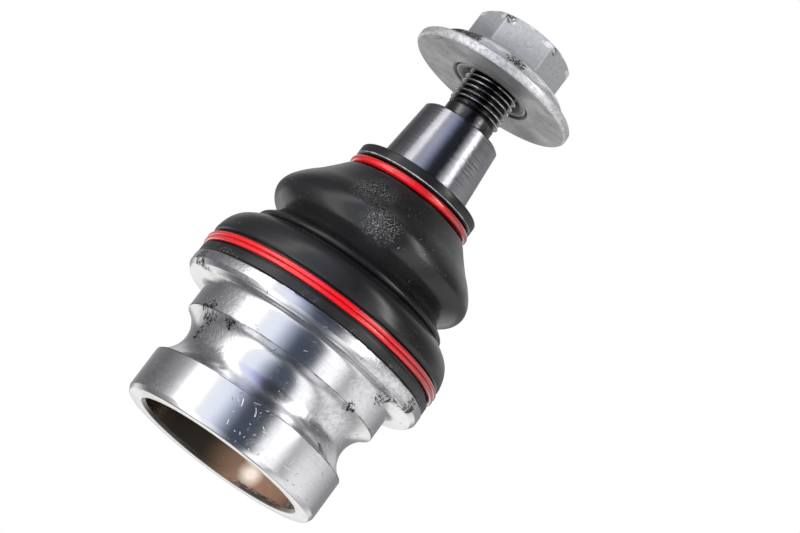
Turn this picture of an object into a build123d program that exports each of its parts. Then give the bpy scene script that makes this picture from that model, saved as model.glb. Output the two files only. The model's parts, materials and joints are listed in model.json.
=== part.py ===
from build123d import *
import math
import os

os.makedirs("parts", exist_ok=True)

# Millimetres and degrees. Z runs up the stud, and z = 0 is the end face at the housing's open mouth.

# Housing: a turned steel barrel with a groove for the pinch bolt and a flange
barrel_r = 22.2
barrel_len = 27.0
end_chamfer_r = 0.6
end_chamfer_z = 1.1
bolt_r = 6.0
groove_depth = 3.15
groove_z = 15.15
root_fillet = 1.7
flange_reach = 5.3
flange_t = 3.1
flange_chamfer_r = 0.8
flange_chamfer_z = 1.0

# Collar above the flange, with the groove that the boot's bead sits in
collar_inset = 3.1
collar_h = 6.3
collar_chamfer = 0.6
bead_step = 1.1
bead_w = 3.7
bead_depth = 1.0

# Bores of the housing, from the mouth inwards
mouth_wall = 4.2
mouth_lead = 0.7
clip_bite = 0.7
cover_step = 1.0
race_step = 1.0

# Pieces stacked in the bores: retaining clip, cover, seal and disc spring
clip_t = 1.5
clip_w = 2.3
clip_gap_deg = 24.0
clip_ear_w = 5.4
clip_ear_reach = 4.7
clip_hole_r = 1.1
clip_hole_inset = 2.1
cover_t = 2.4
dish_step = 0.8
dish_depth = 1.2
dome_h = 0.6
seal_groove_w = 1.4
seal_groove_depth = 1.1
spring_h = 2.1
spring_t = 1.2
spring_side_gap = 0.4
spring_w = 6.2

# Ball stud
ball_drop = 4.9
ball_flat_cut = 0.8
neck_r = 7.2
neck_top_h = 18.0
swing_cone = 27.0
shank_start_h = 35.4
taper_top_h = 57.4
taper_small_r = 8.75
taper_rate = 1 / 12
taper_edge = 0.4
relief_r = 5.5
relief_len = 3.9
thread_r = 5.9
thread_len = 17.5
thread_chamfer = 1.0

# Races
race_wall = 2.5
race_short = 2.7
race_split = 0.5
race_chamfer = 0.8

# Dust boot: two lobes of one rubber wall
boot_wall = 1.3
wall_points = 5
lip_inset = 0.1
lip_t = 1.5
lip_edge = 0.3
lobe_centre_r = 18.6
lobe_centre_h = 6.9
lobe_inset = 0.5
lobe_up = 8.5
crease_r = 19.7
top_lobe_r = 22.8
top_lobe_h = 21.9
shoulder_r = 18.2
shoulder_drop = 5.1
boot_neck_h = 33.3
neck_root_r = 14.1
neck_lip_r = 13.5
neck_lip_t = 2.9
neck_skirt = 1.4

# Spring wire rings that clamp the boot
wire_d = 1.5
wire_gap = 0.04
base_wire_proud = 0.15
base_wire_turns = 2
base_wire_jog = 24.0
neck_wire_r = 13.35
neck_ring_gap_deg = 6.0
jog_at = 75.0

# Flange nut with its captive washer
nut_lift = 6.0
washer_r = 18.25
washer_rim_t = 2.2
washer_t = 2.6
washer_edge = 0.45
washer_bore_r = 8.5
washer_sink = 0.7
spigot_r = 8.3
spigot_lift = 0.35
spigot_lip = 0.3
lip_land = 0.1
nut_flange_r = 14.6
nut_flange_edge = 0.5
nut_flange_t = 2.2
nut_cone_h = 1.9
hex_sides = 6
hex_across = 19.0
nut_top_h = 13.4
hex_chamfer_deg = 28.0
nut_bore_r = 5.97
nut_sink = 1.3
hex_turn = -3.6

# Clearances
ball_play = 0.05
bore_play = 0.04
soft_gap = 0.12
swing_gap = 0.5
nut_play = 0.06

# Radii that follow from the barrel, inwards to the ball and outwards to the boot's base
mouth_r = barrel_r - mouth_wall
cover_bore_r = mouth_r - cover_step
race_bore_r = cover_bore_r - race_step
ball_r = race_bore_r - race_wall
race_r = ball_r + ball_play
spring_outer_r = race_bore_r - spring_side_gap
spring_inner_r = spring_outer_r - spring_w
dish_r = spring_inner_r - dish_step
flange_r = barrel_r + flange_reach
collar_r = flange_r - collar_inset
lip_r = flange_r - lip_inset
lobe_out = flange_r - lobe_inset - lobe_centre_r
base_wire_r = flange_r + base_wire_proud - wire_d / 2

# Heights that follow from the flange and from the stack in the bore below it
flange_top = barrel_len + flange_t
collar_top = flange_top + collar_h
ball_z = flange_top - ball_drop
race_reach = ball_r - race_short
ball_flat_h = ball_r - ball_flat_cut
spring_top = ball_z - race_reach
cover_top = spring_top - spring_h
clip_top = cover_top - cover_t
mouth_depth = clip_top - clip_t

# Heights of the boot, its rings, the taper and the nut
lobe_z = flange_top + lobe_centre_h
crease_z = lobe_z + lobe_up * math.sqrt(1 - ((crease_r - lobe_centre_r) / lobe_out) ** 2)
wire_pitch = wire_d + wire_gap
base_wire_z = flange_top + lip_t
boot_neck_z = flange_top + boot_neck_h
boot_top = boot_neck_z + wire_d + neck_lip_t
taper_top = ball_z + taper_top_h
thread_z = taper_top + relief_len
nut_z = thread_z + nut_lift

# The swung neck sweeps a cone: its edge at height h lies at h * slope + swept_neck_r
slope = math.tan(math.radians(swing_cone))
swept_neck_r = neck_r / math.cos(math.radians(swing_cone))


def race_lip_height():
    """Height above the ball's centre at which the race has to stop to clear the swung neck."""
    reach = swept_neck_r + swing_gap / 2
    a = 1 + slope**2
    b = 2 * slope * reach
    c = reach**2 - race_r**2
    return (math.sqrt(b**2 - 4 * a * c) - b) / (2 * a)


def opening_r(height):
    """Radius of the housing's conical opening at a height above the ball's centre."""
    return height * slope + swept_neck_r + swing_gap


def taper_r(z):
    """Radius of the stud's taper at height z."""
    return taper_small_r + (taper_top - z) * taper_rate


def sphere_r(radius, height):
    """Radius of the slice through a sphere at a height from its centre."""
    return math.sqrt(radius**2 - height**2)


def turned(*edges):
    """Solid turned about Z from edges drawn as (radius, height)."""
    return revolve(Plane.XZ * make_face(Curve() + list(edges)), Axis.Z)


def ring(centre_r, z, section_r, sweep_deg=360):
    """Round wire bent into a flat ring."""
    section = Plane.XZ * Pos(centre_r, z) * Circle(section_r)
    return revolve(section, Axis.Z, revolution_arc=sweep_deg)


def save(node, solid):
    """Writes one node under its own name."""
    solid.label = node
    export_step(solid, f"parts/{node}.step")


def make_housing():
    """Barrel, pinch bolt groove, flange and boot collar round one stepped bore."""
    bolt_axis_r = barrel_r - groove_depth + bolt_r
    half_w = math.sqrt(bolt_r**2 - (bolt_axis_r - barrel_r) ** 2)
    bead_low = flange_top + bead_step
    bead_high = bead_low + bead_w
    lip_h = race_lip_height()
    lower = Polyline(
        (mouth_r, mouth_lead),
        (mouth_r + mouth_lead, 0),
        (barrel_r - end_chamfer_r, 0),
        (barrel_r, end_chamfer_z),
        (barrel_r, groove_z - half_w),
    )
    groove = ThreePointArc(
        (barrel_r, groove_z - half_w),
        (barrel_r - groove_depth, groove_z),
        (barrel_r, groove_z + half_w),
    )
    middle = Line((barrel_r, groove_z + half_w), (barrel_r, barrel_len - root_fillet))
    root = CenterArc((barrel_r + root_fillet, barrel_len - root_fillet), root_fillet, 180, -90)
    upper = Polyline(
        (barrel_r + root_fillet, barrel_len),
        (flange_r - flange_chamfer_r, barrel_len),
        (flange_r, barrel_len + flange_chamfer_z),
        (flange_r, flange_top),
        (collar_r, flange_top),
        (collar_r, bead_low),
        (collar_r - bead_depth, bead_low),
        (collar_r - bead_depth, bead_high),
        (collar_r, bead_high),
        (collar_r, collar_top - collar_chamfer),
        (collar_r - collar_chamfer, collar_top),
        (opening_r(collar_top - ball_z), collar_top),
        (opening_r(lip_h), ball_z + lip_h),
        (race_bore_r, ball_z + lip_h),
        (race_bore_r, cover_top),
        (cover_bore_r, cover_top),
        (cover_bore_r, clip_top),
        (mouth_r + clip_bite, clip_top),
        (mouth_r + clip_bite, mouth_depth),
        (mouth_r, mouth_depth),
        (mouth_r, mouth_lead),
    )
    return turned(lower, groove, middle, root, upper)


def make_upper_race():
    """Cup half above the ball's equator, against the housing's shoulder."""
    low, high = race_split / 2, race_lip_height()
    outer_r = race_bore_r - bore_play
    seat = ThreePointArc(
        (sphere_r(race_r, low), ball_z + low),
        (sphere_r(race_r, high / 2), ball_z + high / 2),
        (sphere_r(race_r, high), ball_z + high),
    )
    back = Polyline(
        (sphere_r(race_r, high), ball_z + high),
        (outer_r - race_chamfer, ball_z + high),
        (outer_r, ball_z + high - race_chamfer),
        (outer_r, ball_z + low),
        (sphere_r(race_r, low), ball_z + low),
    )
    return turned(seat, back)


def make_lower_race():
    """Cup half under the ball, pushed up by the disc spring."""
    low, high = -race_reach, -race_split / 2
    outer_r = race_bore_r - bore_play
    seat = ThreePointArc(
        (sphere_r(race_r, high), ball_z + high),
        (sphere_r(race_r, low / 2), ball_z + low / 2),
        (sphere_r(race_r, low), ball_z + low),
    )
    back = Polyline(
        (sphere_r(race_r, low), ball_z + low),
        (outer_r - race_chamfer, ball_z + low),
        (outer_r, ball_z + low + race_chamfer),
        (outer_r, ball_z + high),
        (sphere_r(race_r, high), ball_z + high),
    )
    return turned(seat, back)


def make_preload_spring():
    """Conical disc spring: outer edge on the cover, inner edge under the race."""
    return turned(
        Polyline(
            (spring_outer_r, cover_top),
            (spring_outer_r, cover_top + spring_t),
            (spring_inner_r, spring_top),
            (spring_inner_r, spring_top - spring_t),
            (spring_outer_r, cover_top),
        )
    )


def make_end_cover():
    """Round plate that closes the bore, dished to clear the ball and grooved for its seal."""
    outer_r = cover_bore_r - bore_play
    groove_mid = clip_top + cover_t / 2
    groove_low = groove_mid - seal_groove_w / 2
    groove_high = groove_mid + seal_groove_w / 2
    return turned(
        Polyline(
            (0, cover_top - dish_depth),
            (dish_r - dish_depth, cover_top - dish_depth),
            (dish_r, cover_top),
            (outer_r, cover_top),
            (outer_r, groove_high),
            (cover_bore_r - seal_groove_depth, groove_high),
            (cover_bore_r - seal_groove_depth, groove_low),
            (outer_r, groove_low),
            (outer_r, clip_top),
            (dish_r, clip_top),
            (dish_r - dome_h, clip_top - dome_h),
            (0, clip_top - dome_h),
            (0, cover_top - dish_depth),
        )
    )


def make_cover_seal():
    """Rubber ring in the cover's groove."""
    section_r = seal_groove_depth / 2 - bore_play / 2
    return ring(cover_bore_r - seal_groove_depth / 2, clip_top + cover_t / 2, section_r)


def make_retaining_ring():
    """Open spring clip with two ears and plier holes, sprung into the groove at the mouth."""
    outer_r = mouth_r + clip_bite - bore_play
    inner_r = outer_r - clip_w
    band_r = (outer_r + inner_r) / 2
    hole_at_r = band_r - clip_ear_reach + clip_hole_inset
    half_gap = clip_gap_deg / 2
    ear_turn = half_gap + math.degrees(clip_ear_w / 2 / hole_at_r)
    flat = Circle(outer_r) - Circle(inner_r)
    for side in (1, -1):
        ear = Pos(band_r - clip_ear_reach / 2, 0) * Rectangle(clip_ear_reach, clip_ear_w)
        hole = Pos(hole_at_r, 0) * Circle(clip_hole_r)
        flat += Rot(0, 0, side * ear_turn) * (ear - hole)
    reach = 2 * outer_r
    edge_y = reach * math.sin(math.radians(half_gap))
    flat -= make_face(Polyline((0, 0), (reach, -edge_y), (reach, edge_y), (0, 0)))
    return Pos(0, 0, mouth_depth) * extrude(flat, clip_t)


def make_ball_stud():
    """Ball, waisted neck, taper, thread relief and plain thread cylinder in one piece."""
    shank_z = ball_z + shank_start_h
    neck_low_h = sphere_r(ball_r, neck_r)
    flat_r = sphere_r(ball_r, ball_flat_h)
    ball = ThreePointArc((flat_r, ball_z - ball_flat_h), (ball_r, ball_z), (neck_r, ball_z + neck_low_h))
    waist = Polyline((neck_r, ball_z + neck_low_h), (neck_r, ball_z + neck_top_h))
    flare = Spline(
        (neck_r, ball_z + neck_top_h),
        (taper_r(shank_z), shank_z),
        tangents=[(0, 1), (-taper_rate, 1)],
    )
    thread_end = thread_z + thread_len
    upper = Polyline(
        (taper_r(shank_z), shank_z),
        (taper_r(taper_top - taper_edge), taper_top - taper_edge),
        (taper_small_r - taper_edge, taper_top),
        (relief_r, taper_top),
        (relief_r, thread_z - (thread_r - relief_r)),
        (thread_r, thread_z),
        (thread_r, thread_end - thread_chamfer),
        (thread_r - thread_chamfer, thread_end),
        (0, thread_end),
        (0, ball_z - ball_flat_h),
        (flat_r, ball_z - ball_flat_h),
    )
    return turned(ball, waist, flare, upper)


def upper_lobe():
    """Outside of the boot's upper lobe, from the crease to the root of the neck."""
    top_z = flange_top + top_lobe_h
    return Spline(
        (crease_r, crease_z),
        (top_lobe_r, top_z),
        (shoulder_r, boot_neck_z - shoulder_drop),
        (neck_root_r, boot_neck_z),
    )


def inside_of(edge, count):
    """Spline through points one wall inside an outline that runs upwards."""
    points = []
    for step in range(count + 1):
        place, along = edge @ (step / count), edge % (step / count)
        points.append((place.X - boot_wall * along.Y, place.Y + boot_wall * along.X))
    return Spline(*points)


def lobe_r(z, inset=0):
    """Radius of the lower lobe's ellipse at height z, or of its inside one inset in."""
    rise = (z - lobe_z) / (lobe_up - inset)
    return lobe_centre_r + (lobe_out - inset) * math.sqrt(1 - rise**2)


def lower_lobe(z_low, r_high, inset=0):
    """Arc of the lower lobe from a height on its side up to a radius on its top."""
    low = math.degrees(math.asin((z_low - lobe_z) / (lobe_up - inset)))
    high = math.degrees(math.acos((r_high - lobe_centre_r) / (lobe_out - inset)))
    centre = (lobe_centre_r, lobe_z)
    return EllipticalCenterArc(centre, lobe_out - inset, lobe_up - inset, low, arc_size=high - low)


def make_dust_boot():
    """Rubber boot: bead and lip on the housing, two lobes, and a neck that seals on the taper."""
    base = flange_top + soft_gap
    seat_r = base_wire_r - wire_d / 2 - soft_gap
    wire_top = base_wire_z + (base_wire_turns - 1) * wire_pitch + wire_d + soft_gap
    bead_low = flange_top + bead_step + soft_gap
    bead_high = flange_top + bead_step + bead_w - soft_gap
    bead_r = collar_r - bead_depth + soft_gap
    bore_low = boot_neck_z - neck_skirt
    neck_r_out = neck_wire_r - wire_d / 2 - soft_gap
    neck_lip_z = boot_neck_z + wire_d + 2 * soft_gap
    outer_top = upper_lobe()
    inner_top = inside_of(outer_top, wall_points)
    inner_low = lower_lobe(bead_high, crease_r - boot_wall, boot_wall)
    base_side = Polyline(
        inner_low @ 0,
        (bead_r, bead_high),
        (bead_r, bead_low),
        (collar_r + soft_gap, bead_low),
        (collar_r + soft_gap, base),
        (lip_r - lip_edge, base),
        (lip_r, base + lip_edge),
        (lip_r, base_wire_z - soft_gap),
        (seat_r, base_wire_z - soft_gap),
        (seat_r, wire_top),
        (lobe_r(wire_top), wire_top),
    )
    outer_low = lower_lobe(wire_top, crease_r)
    neck = Polyline(
        (neck_root_r, boot_neck_z),
        (neck_r_out, boot_neck_z),
        (neck_r_out, neck_lip_z),
        (neck_lip_r, neck_lip_z),
        (neck_lip_r, boot_top - lip_edge),
        (neck_lip_r - lip_edge, boot_top),
        (taper_r(boot_top) + soft_gap, boot_top),
        (taper_r(bore_low) + soft_gap, bore_low),
        inner_top @ 1,
    )
    fold = Polyline(inner_top @ 0, (crease_r - boot_wall, crease_z), inner_low @ 1)
    return turned(base_side, outer_low, outer_top, neck, inner_top, fold, inner_low)


def make_base_ring():
    """Spring wire laid in flat turns round the boot's base, with a crossing from each turn to the next."""
    section_r = wire_d / 2
    sweep_deg = 360 - base_wire_jog
    climb = Helix(wire_pitch * 360 / base_wire_jog, wire_pitch, base_wire_r)
    slice_plane = Plane(origin=climb @ 0, z_dir=climb % 0)
    ramp = sweep(slice_plane * Circle(section_r), path=climb, is_frenet=True)
    z = base_wire_z + section_r
    wire = Rot(0, 0, jog_at) * ring(base_wire_r, z, section_r, sweep_deg)
    for _ in range(base_wire_turns - 1):
        wire += Rot(0, 0, jog_at) * ring(base_wire_r, z + wire_pitch, section_r, sweep_deg)
        wire += Rot(0, 0, jog_at - base_wire_jog) * Pos(0, 0, z) * ramp
        for angle, height in ((jog_at - base_wire_jog, z), (jog_at, z + wire_pitch)):
            wire += Rot(0, 0, angle) * Pos(base_wire_r, 0, height) * Sphere(section_r)
        z += wire_pitch
    return wire


def make_neck_ring():
    """One turn of spring wire round the boot's neck, open by a small gap."""
    z = boot_neck_z + soft_gap + wire_d / 2
    return Rot(0, 0, jog_at) * ring(neck_wire_r, z, wire_d / 2, 360 - neck_ring_gap_deg)


def make_nut_washer():
    """Captive washer: flat seat, rounded rim, and a bore sunk for the nut's rolled lip."""
    return turned(
        Polyline(
            (washer_bore_r, nut_z + washer_sink),
            (washer_bore_r + washer_sink, nut_z),
            (washer_r - washer_edge, nut_z),
            (washer_r, nut_z + washer_edge),
            (washer_r, nut_z + washer_rim_t - washer_edge),
            (washer_r - washer_edge, nut_z + washer_rim_t),
            (nut_flange_r + washer_edge, nut_z + washer_t),
            (washer_bore_r, nut_z + washer_t),
            (washer_bore_r, nut_z + washer_sink),
        )
    )


def make_flange_nut():
    """Hexagon with chamfered corners on a coned flange, and a spigot that holds the washer."""
    seat = nut_z + washer_t + nut_play
    flange_high = seat + nut_flange_t
    spigot_low = nut_z + spigot_lift
    lip_out = spigot_r + spigot_lip
    hex_r = hex_across / 2
    chamfer_rise = math.tan(math.radians(hex_chamfer_deg))
    nut_top = nut_z + nut_top_h
    skirt = turned(
        Polyline(
            (0, spigot_low),
            (lip_out, spigot_low),
            (lip_out, spigot_low + lip_land),
            (spigot_r, spigot_low + lip_land + spigot_lip),
            (spigot_r, seat),
            (nut_flange_r - nut_flange_edge, seat),
            (nut_flange_r, seat + nut_flange_edge),
            (nut_flange_r, flange_high - nut_flange_edge),
            (nut_flange_r - nut_flange_edge, flange_high),
            (hex_r, flange_high + nut_cone_h),
            (0, flange_high + nut_cone_h),
            (0, spigot_low),
        )
    )
    flats = Pos(0, 0, flange_high - nut_flange_edge) * extrude(
        RegularPolygon(hex_r, hex_sides, major_radius=False), nut_top - flange_high + nut_flange_edge
    )
    envelope = turned(
        Polyline(
            (0, seat),
            (nut_flange_r, seat),
            (nut_flange_r, nut_top - (nut_flange_r - hex_r) * chamfer_rise),
            (hex_r, nut_top),
            (0, nut_top),
            (0, seat),
        )
    )
    bore = turned(
        Polyline(
            (0, spigot_low),
            (nut_bore_r + nut_sink, spigot_low),
            (nut_bore_r, spigot_low + nut_sink),
            (nut_bore_r, nut_top - nut_sink),
            (nut_bore_r + nut_sink, nut_top),
            (0, nut_top),
            (0, spigot_low),
        )
    )
    hexagon = (Rot(0, 0, hex_turn) * flats) & envelope
    return (skirt + hexagon) - bore


save("housing", make_housing())
save("upper_race", make_upper_race())
save("lower_race", make_lower_race())
save("preload_spring", make_preload_spring())
save("end_cover", make_end_cover())
save("cover_seal", make_cover_seal())
save("retaining_ring", make_retaining_ring())
save("ball_stud", make_ball_stud())
save("dust_boot", make_dust_boot())
save("boot_base_ring", make_base_ring())
save("boot_neck_ring", make_neck_ring())
save("nut_washer", make_nut_washer())
save("flange_nut", make_flange_nut())
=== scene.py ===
"""Finishes, boot, wire rings, thread and studio for a suspension ball joint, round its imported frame."""

import json
import math
from collections import Counter

import bpy
from bpy.props import FloatProperty, FloatVectorProperty, PointerProperty
from mathutils import Matrix, Vector


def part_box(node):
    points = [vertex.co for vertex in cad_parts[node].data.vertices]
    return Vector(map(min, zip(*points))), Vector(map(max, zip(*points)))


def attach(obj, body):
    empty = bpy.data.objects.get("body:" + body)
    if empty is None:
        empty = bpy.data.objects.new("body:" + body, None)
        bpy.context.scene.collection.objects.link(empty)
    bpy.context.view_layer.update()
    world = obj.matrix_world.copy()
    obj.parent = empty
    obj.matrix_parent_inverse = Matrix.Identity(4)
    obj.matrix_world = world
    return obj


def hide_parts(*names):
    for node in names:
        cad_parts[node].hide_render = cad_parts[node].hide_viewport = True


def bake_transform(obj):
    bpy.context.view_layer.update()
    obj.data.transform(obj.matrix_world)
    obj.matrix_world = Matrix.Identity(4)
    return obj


bl_info = {
    "name": "Suspension Ball Joint",
    "version": (1, 0, 0),
    "blender": (4, 5, 0),
    "location": "View3D > Sidebar > Ball Joint",
    "description": "Models and finishes a pinch-bolt ball joint round its packed frame",
    "category": "Object",
}

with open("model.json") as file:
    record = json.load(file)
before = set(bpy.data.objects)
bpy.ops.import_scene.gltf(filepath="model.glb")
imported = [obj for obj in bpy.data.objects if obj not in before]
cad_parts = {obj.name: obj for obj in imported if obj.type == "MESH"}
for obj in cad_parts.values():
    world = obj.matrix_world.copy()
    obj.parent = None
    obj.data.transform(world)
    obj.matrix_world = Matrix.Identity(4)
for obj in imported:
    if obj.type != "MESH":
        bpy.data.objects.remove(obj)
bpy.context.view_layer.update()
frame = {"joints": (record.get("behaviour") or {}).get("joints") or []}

MM = 0.001
ROUND_STEPS = 4
GROOVE_STEPS = 24
BALL_STEPS = 30
LOBE_STEPS = 4
TURN_STEPS = 160
MOST_OF_SIDE = 0.49
TAPER_RATE = 1 / 12
WELD = 0.000002
SMOOTH_DEG = 32
WIRE_SIDES = 14
WIRE_STEP_DEG = 3
WIRE_SMOOTH_DEG = 60
WIRE_END_DEG = 75
BASE_WIRE_TURNS = 2
NECK_GAP_DEG = 6
THREAD_STEPS = 64
THREAD_FLANK_DEG = 30
CHAMFER_DEG = 28

# Studio: what gloss sees all round, by azimuth from -180 to 180, with 0 on the side of -Y
STUDIO_WALLS = (
    (-180, (0.42, 0.42, 0.42)), (-166, (0.42, 0.42, 0.42)), (-150, (0.26, 0.26, 0.27)),
    (-120, (0.18, 0.18, 0.19)), (-92, (0.40, 0.40, 0.41)), (-78, (0.90, 0.90, 0.90)), (-71, (2.3, 2.3, 2.3)),
    (-55, (2.3, 2.3, 2.3)), (-47, (1.15, 1.16, 1.18)), (-28, (1.10, 1.16, 1.30)), (-15, (0.42, 0.48, 0.60)),
    (-5, (0.07, 0.085, 0.12)), (22, (0.07, 0.085, 0.12)), (31, (1.6, 1.6, 1.6)), (48, (1.5, 1.5, 1.5)),
    (61, (0.42, 0.42, 0.42)), (78, (1.05, 1.05, 1.05)), (98, (1.1, 1.1, 1.1)), (118, (0.70, 0.70, 0.70)),
    (142, (0.32, 0.32, 0.33)), (166, (0.30, 0.30, 0.31)), (180, (0.42, 0.42, 0.42)),
)
STUDIO_SLOPES = (
    (-180, (0.60, 0.60, 0.60)), (-160, (0.65, 0.65, 0.65)), (-144, (0.30, 0.30, 0.31)),
    (-128, (0.20, 0.20, 0.21)), (-112, (0.20, 0.20, 0.21)), (-96, (0.26, 0.26, 0.27)),
    (-79, (0.33, 0.33, 0.34)), (-72, (1.7, 1.7, 1.7)),
    (-57, (3.2, 3.2, 3.2)), (-50, (1.0, 1.0, 1.04)), (-34, (0.95, 0.98, 1.35)), (-24, (0.62, 0.66, 1.05)),
    (-17, (0.36, 0.38, 0.60)), (-9, (0.05, 0.05, 0.07)), (22, (0.03, 0.03, 0.035)), (31, (0.60, 0.60, 0.60)),
    (42, (2.2, 2.2, 2.2)), (47, (8.0, 8.0, 8.0)), (52, (8.0, 8.0, 8.0)), (57, (1.0, 1.0, 1.0)),
    (66, (0.34, 0.34, 0.34)), (80, (0.18, 0.18, 0.18)), (98, (0.24, 0.24, 0.24)), (112, (0.22, 0.22, 0.23)),
    (128, (0.55, 0.55, 0.56)), (160, (0.70, 0.70, 0.70)), (180, (0.60, 0.60, 0.60)),
)
CEILING = (0.16, 0.16, 0.17)
GROUND = (0.15, 0.15, 0.16)
BACKDROP = (1.1, 1.09, 1.06)
PLAIN = (0.42, 0.42, 0.43)

# Shares of a direction's height or depth over which one part of the studio gives way to another
SLOPES_UP = (0.27, 0.38)
CEILING_UP = (0.84, 0.98)
GROUND_UP = (-0.86, -0.97)
BACKDROP_NORTH = (0.55, 0.85)
BACKDROP_UP = (-0.02, -0.16)

# Lamps as name, azimuth, elevation, distance, width, height and watts, aimed at one place
AIM_AT = Vector((0, 0, 50 * MM))
SOFTBOXES = (
    ("softbox_left", -8, 22, 0.9, 0.60, 0.80, 5.5),
    ("softbox_right", 42, 22, 0.9, 0.28, 0.80, 2.5),
    ("softbox_top", 160, 62, 0.9, 0.60, 0.60, 4.0),
    ("softbox_below", -30, -30, 0.22, 0.06, 0.06, 0.75),
)
FLOOR_R = 0.7
FLOOR_SIDES = 96
FLOOR_RIM = (0.35, 0.95)
FLOOR_CLOUDS = 0.97

# Camera fitted to the photograph
CAMERA_BELOW_DEG = 13.0
CAMERA_ROLL_DEG = 36.6
CAMERA_SEES_Z = 28.0 * MM
CAMERA_OFF = (-19.35 * MM, -15.19 * MM, 676 * MM)
CAMERA_LENS = 154.2
CAMERA_SENSOR = 36.0

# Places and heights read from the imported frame
WASHER_LOW, WASHER_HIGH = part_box("nut_washer")
NUT_LOW, NUT_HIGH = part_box("flange_nut")
STUD_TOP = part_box("ball_stud")[1][2]
BALL_CENTRE = Vector(next(j["pos_m"] for j in frame["joints"] if j["name"] == "swing_fore_aft"))

# Patches of wear, and spots of painted highlight in the mouth, as radius, azimuth, height and size, in
# millimetres and degrees, with azimuth 0 towards -Y
PEENED = ((20.5, -50, 17.5, 12.0), (27.0, -50, 28.5, 14.0), (27.0, 45, 28.5, 14.0), (20.5, 45, 16.0, 11.0),
          (22.0, -60, 2.0, 8.0))
NICKED = ((22.2, 2, 5.0, 7.0), (22.2, -24, 7.0, 5.0), (22.2, 26, 4.0, 5.0), (22.2, -45, 23.0, 5.0),
          (22.2, 25, 22.5, 5.0))
KNOCKED = ((21.8, -57, 19.8, 6.0), (21.4, -39, 19.2, 3.5), (20.0, -64, 15.6, 4.0), (26.6, -70, 27.6, 5.5),
           (24.0, 57, 26.8, 5.5), (27.2, 62, 27.6, 4.5), (21.6, 46, 11.4, 3.0), (22.2, 43, 20.2, 3.0))
COPPERED = ((18, 152, 4, 13), (18, 132, 4, 9))
# Pale spots painted on the mouth's wall as its highlight; the lamp below also lights them
PAINTED_HIGHLIGHT_SPOTS = ((18, 157, 6.4, 3.2), (18, 156, 3.6, 3.4))
SOOTED = ((18, 142, 0.3, 16),)
NUT_KNOCKED = ((14.3, -60, 96.6, 5.5), (14.4, -40, 96.4, 4.5))
NUT_GRAZED = ((14.5, 3, 95.9, 5.0), (10.8, -30, 105.0, 3.0), (10.6, 34, 104.6, 2.2))
DUSTY = ((22.0, -3, 52.3, 5.5), (19.0, -19, 57.5, 6.5))
DUSTIEST = ((22.0, -3, 52.2, 2.8),)

# Worn edges, and the painted highlight along the boot's lip, as radius, height and width in millimetres
HOUSING_EDGES = ((22.2, 9.75, 0.14), (22.2, 20.55, 0.17), (27.5, 30.1, 0.35))
NUT_RIMS = ((14.5, 97.2, 0.8), (10.5, 104.6, 0.7), (9.4, 105.9, 0.5))
PAINTED_HIGHLIGHT_LIP = ((13.85, 65.75, 0.14),)

# Shape of the fine scratches: how they bow, and the shortest as a share of the longest
SCRATCH_BOW = 0.12
SHORTEST_SCRATCH = 0.15

# Other bounds between finishes, in millimetres
MOUTH_EDGE_R = 18.6
MOUTH_END_Z = (36.0, 30.0)
SOOT_Z = (2.6, 0.6)
# Painted shade on the nut where its flange sits on the washer, and in the hollow round its spigot, as heights
# and radii
PAINTED_SHADE_SEAM_Z = (94.4, 95.35)
PAINTED_SHADE_SEAM_R = (13.9, 14.3)
PAINTED_SHADE_HOLLOW_R = (9.4, 9.2)
PAINTED_SHADE_HOLLOW_Z = (96.0, 95.5)


def length(name, description, default):
    """A size in metres that a user may change."""
    return FloatProperty(name=name, description=description, default=default, unit="LENGTH", precision=5)


def colour(name, description, default):
    """A linear colour that a user may change."""
    return FloatVectorProperty(name=name, description=description, default=default, subtype="COLOR", min=0,
                               max=1)


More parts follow.
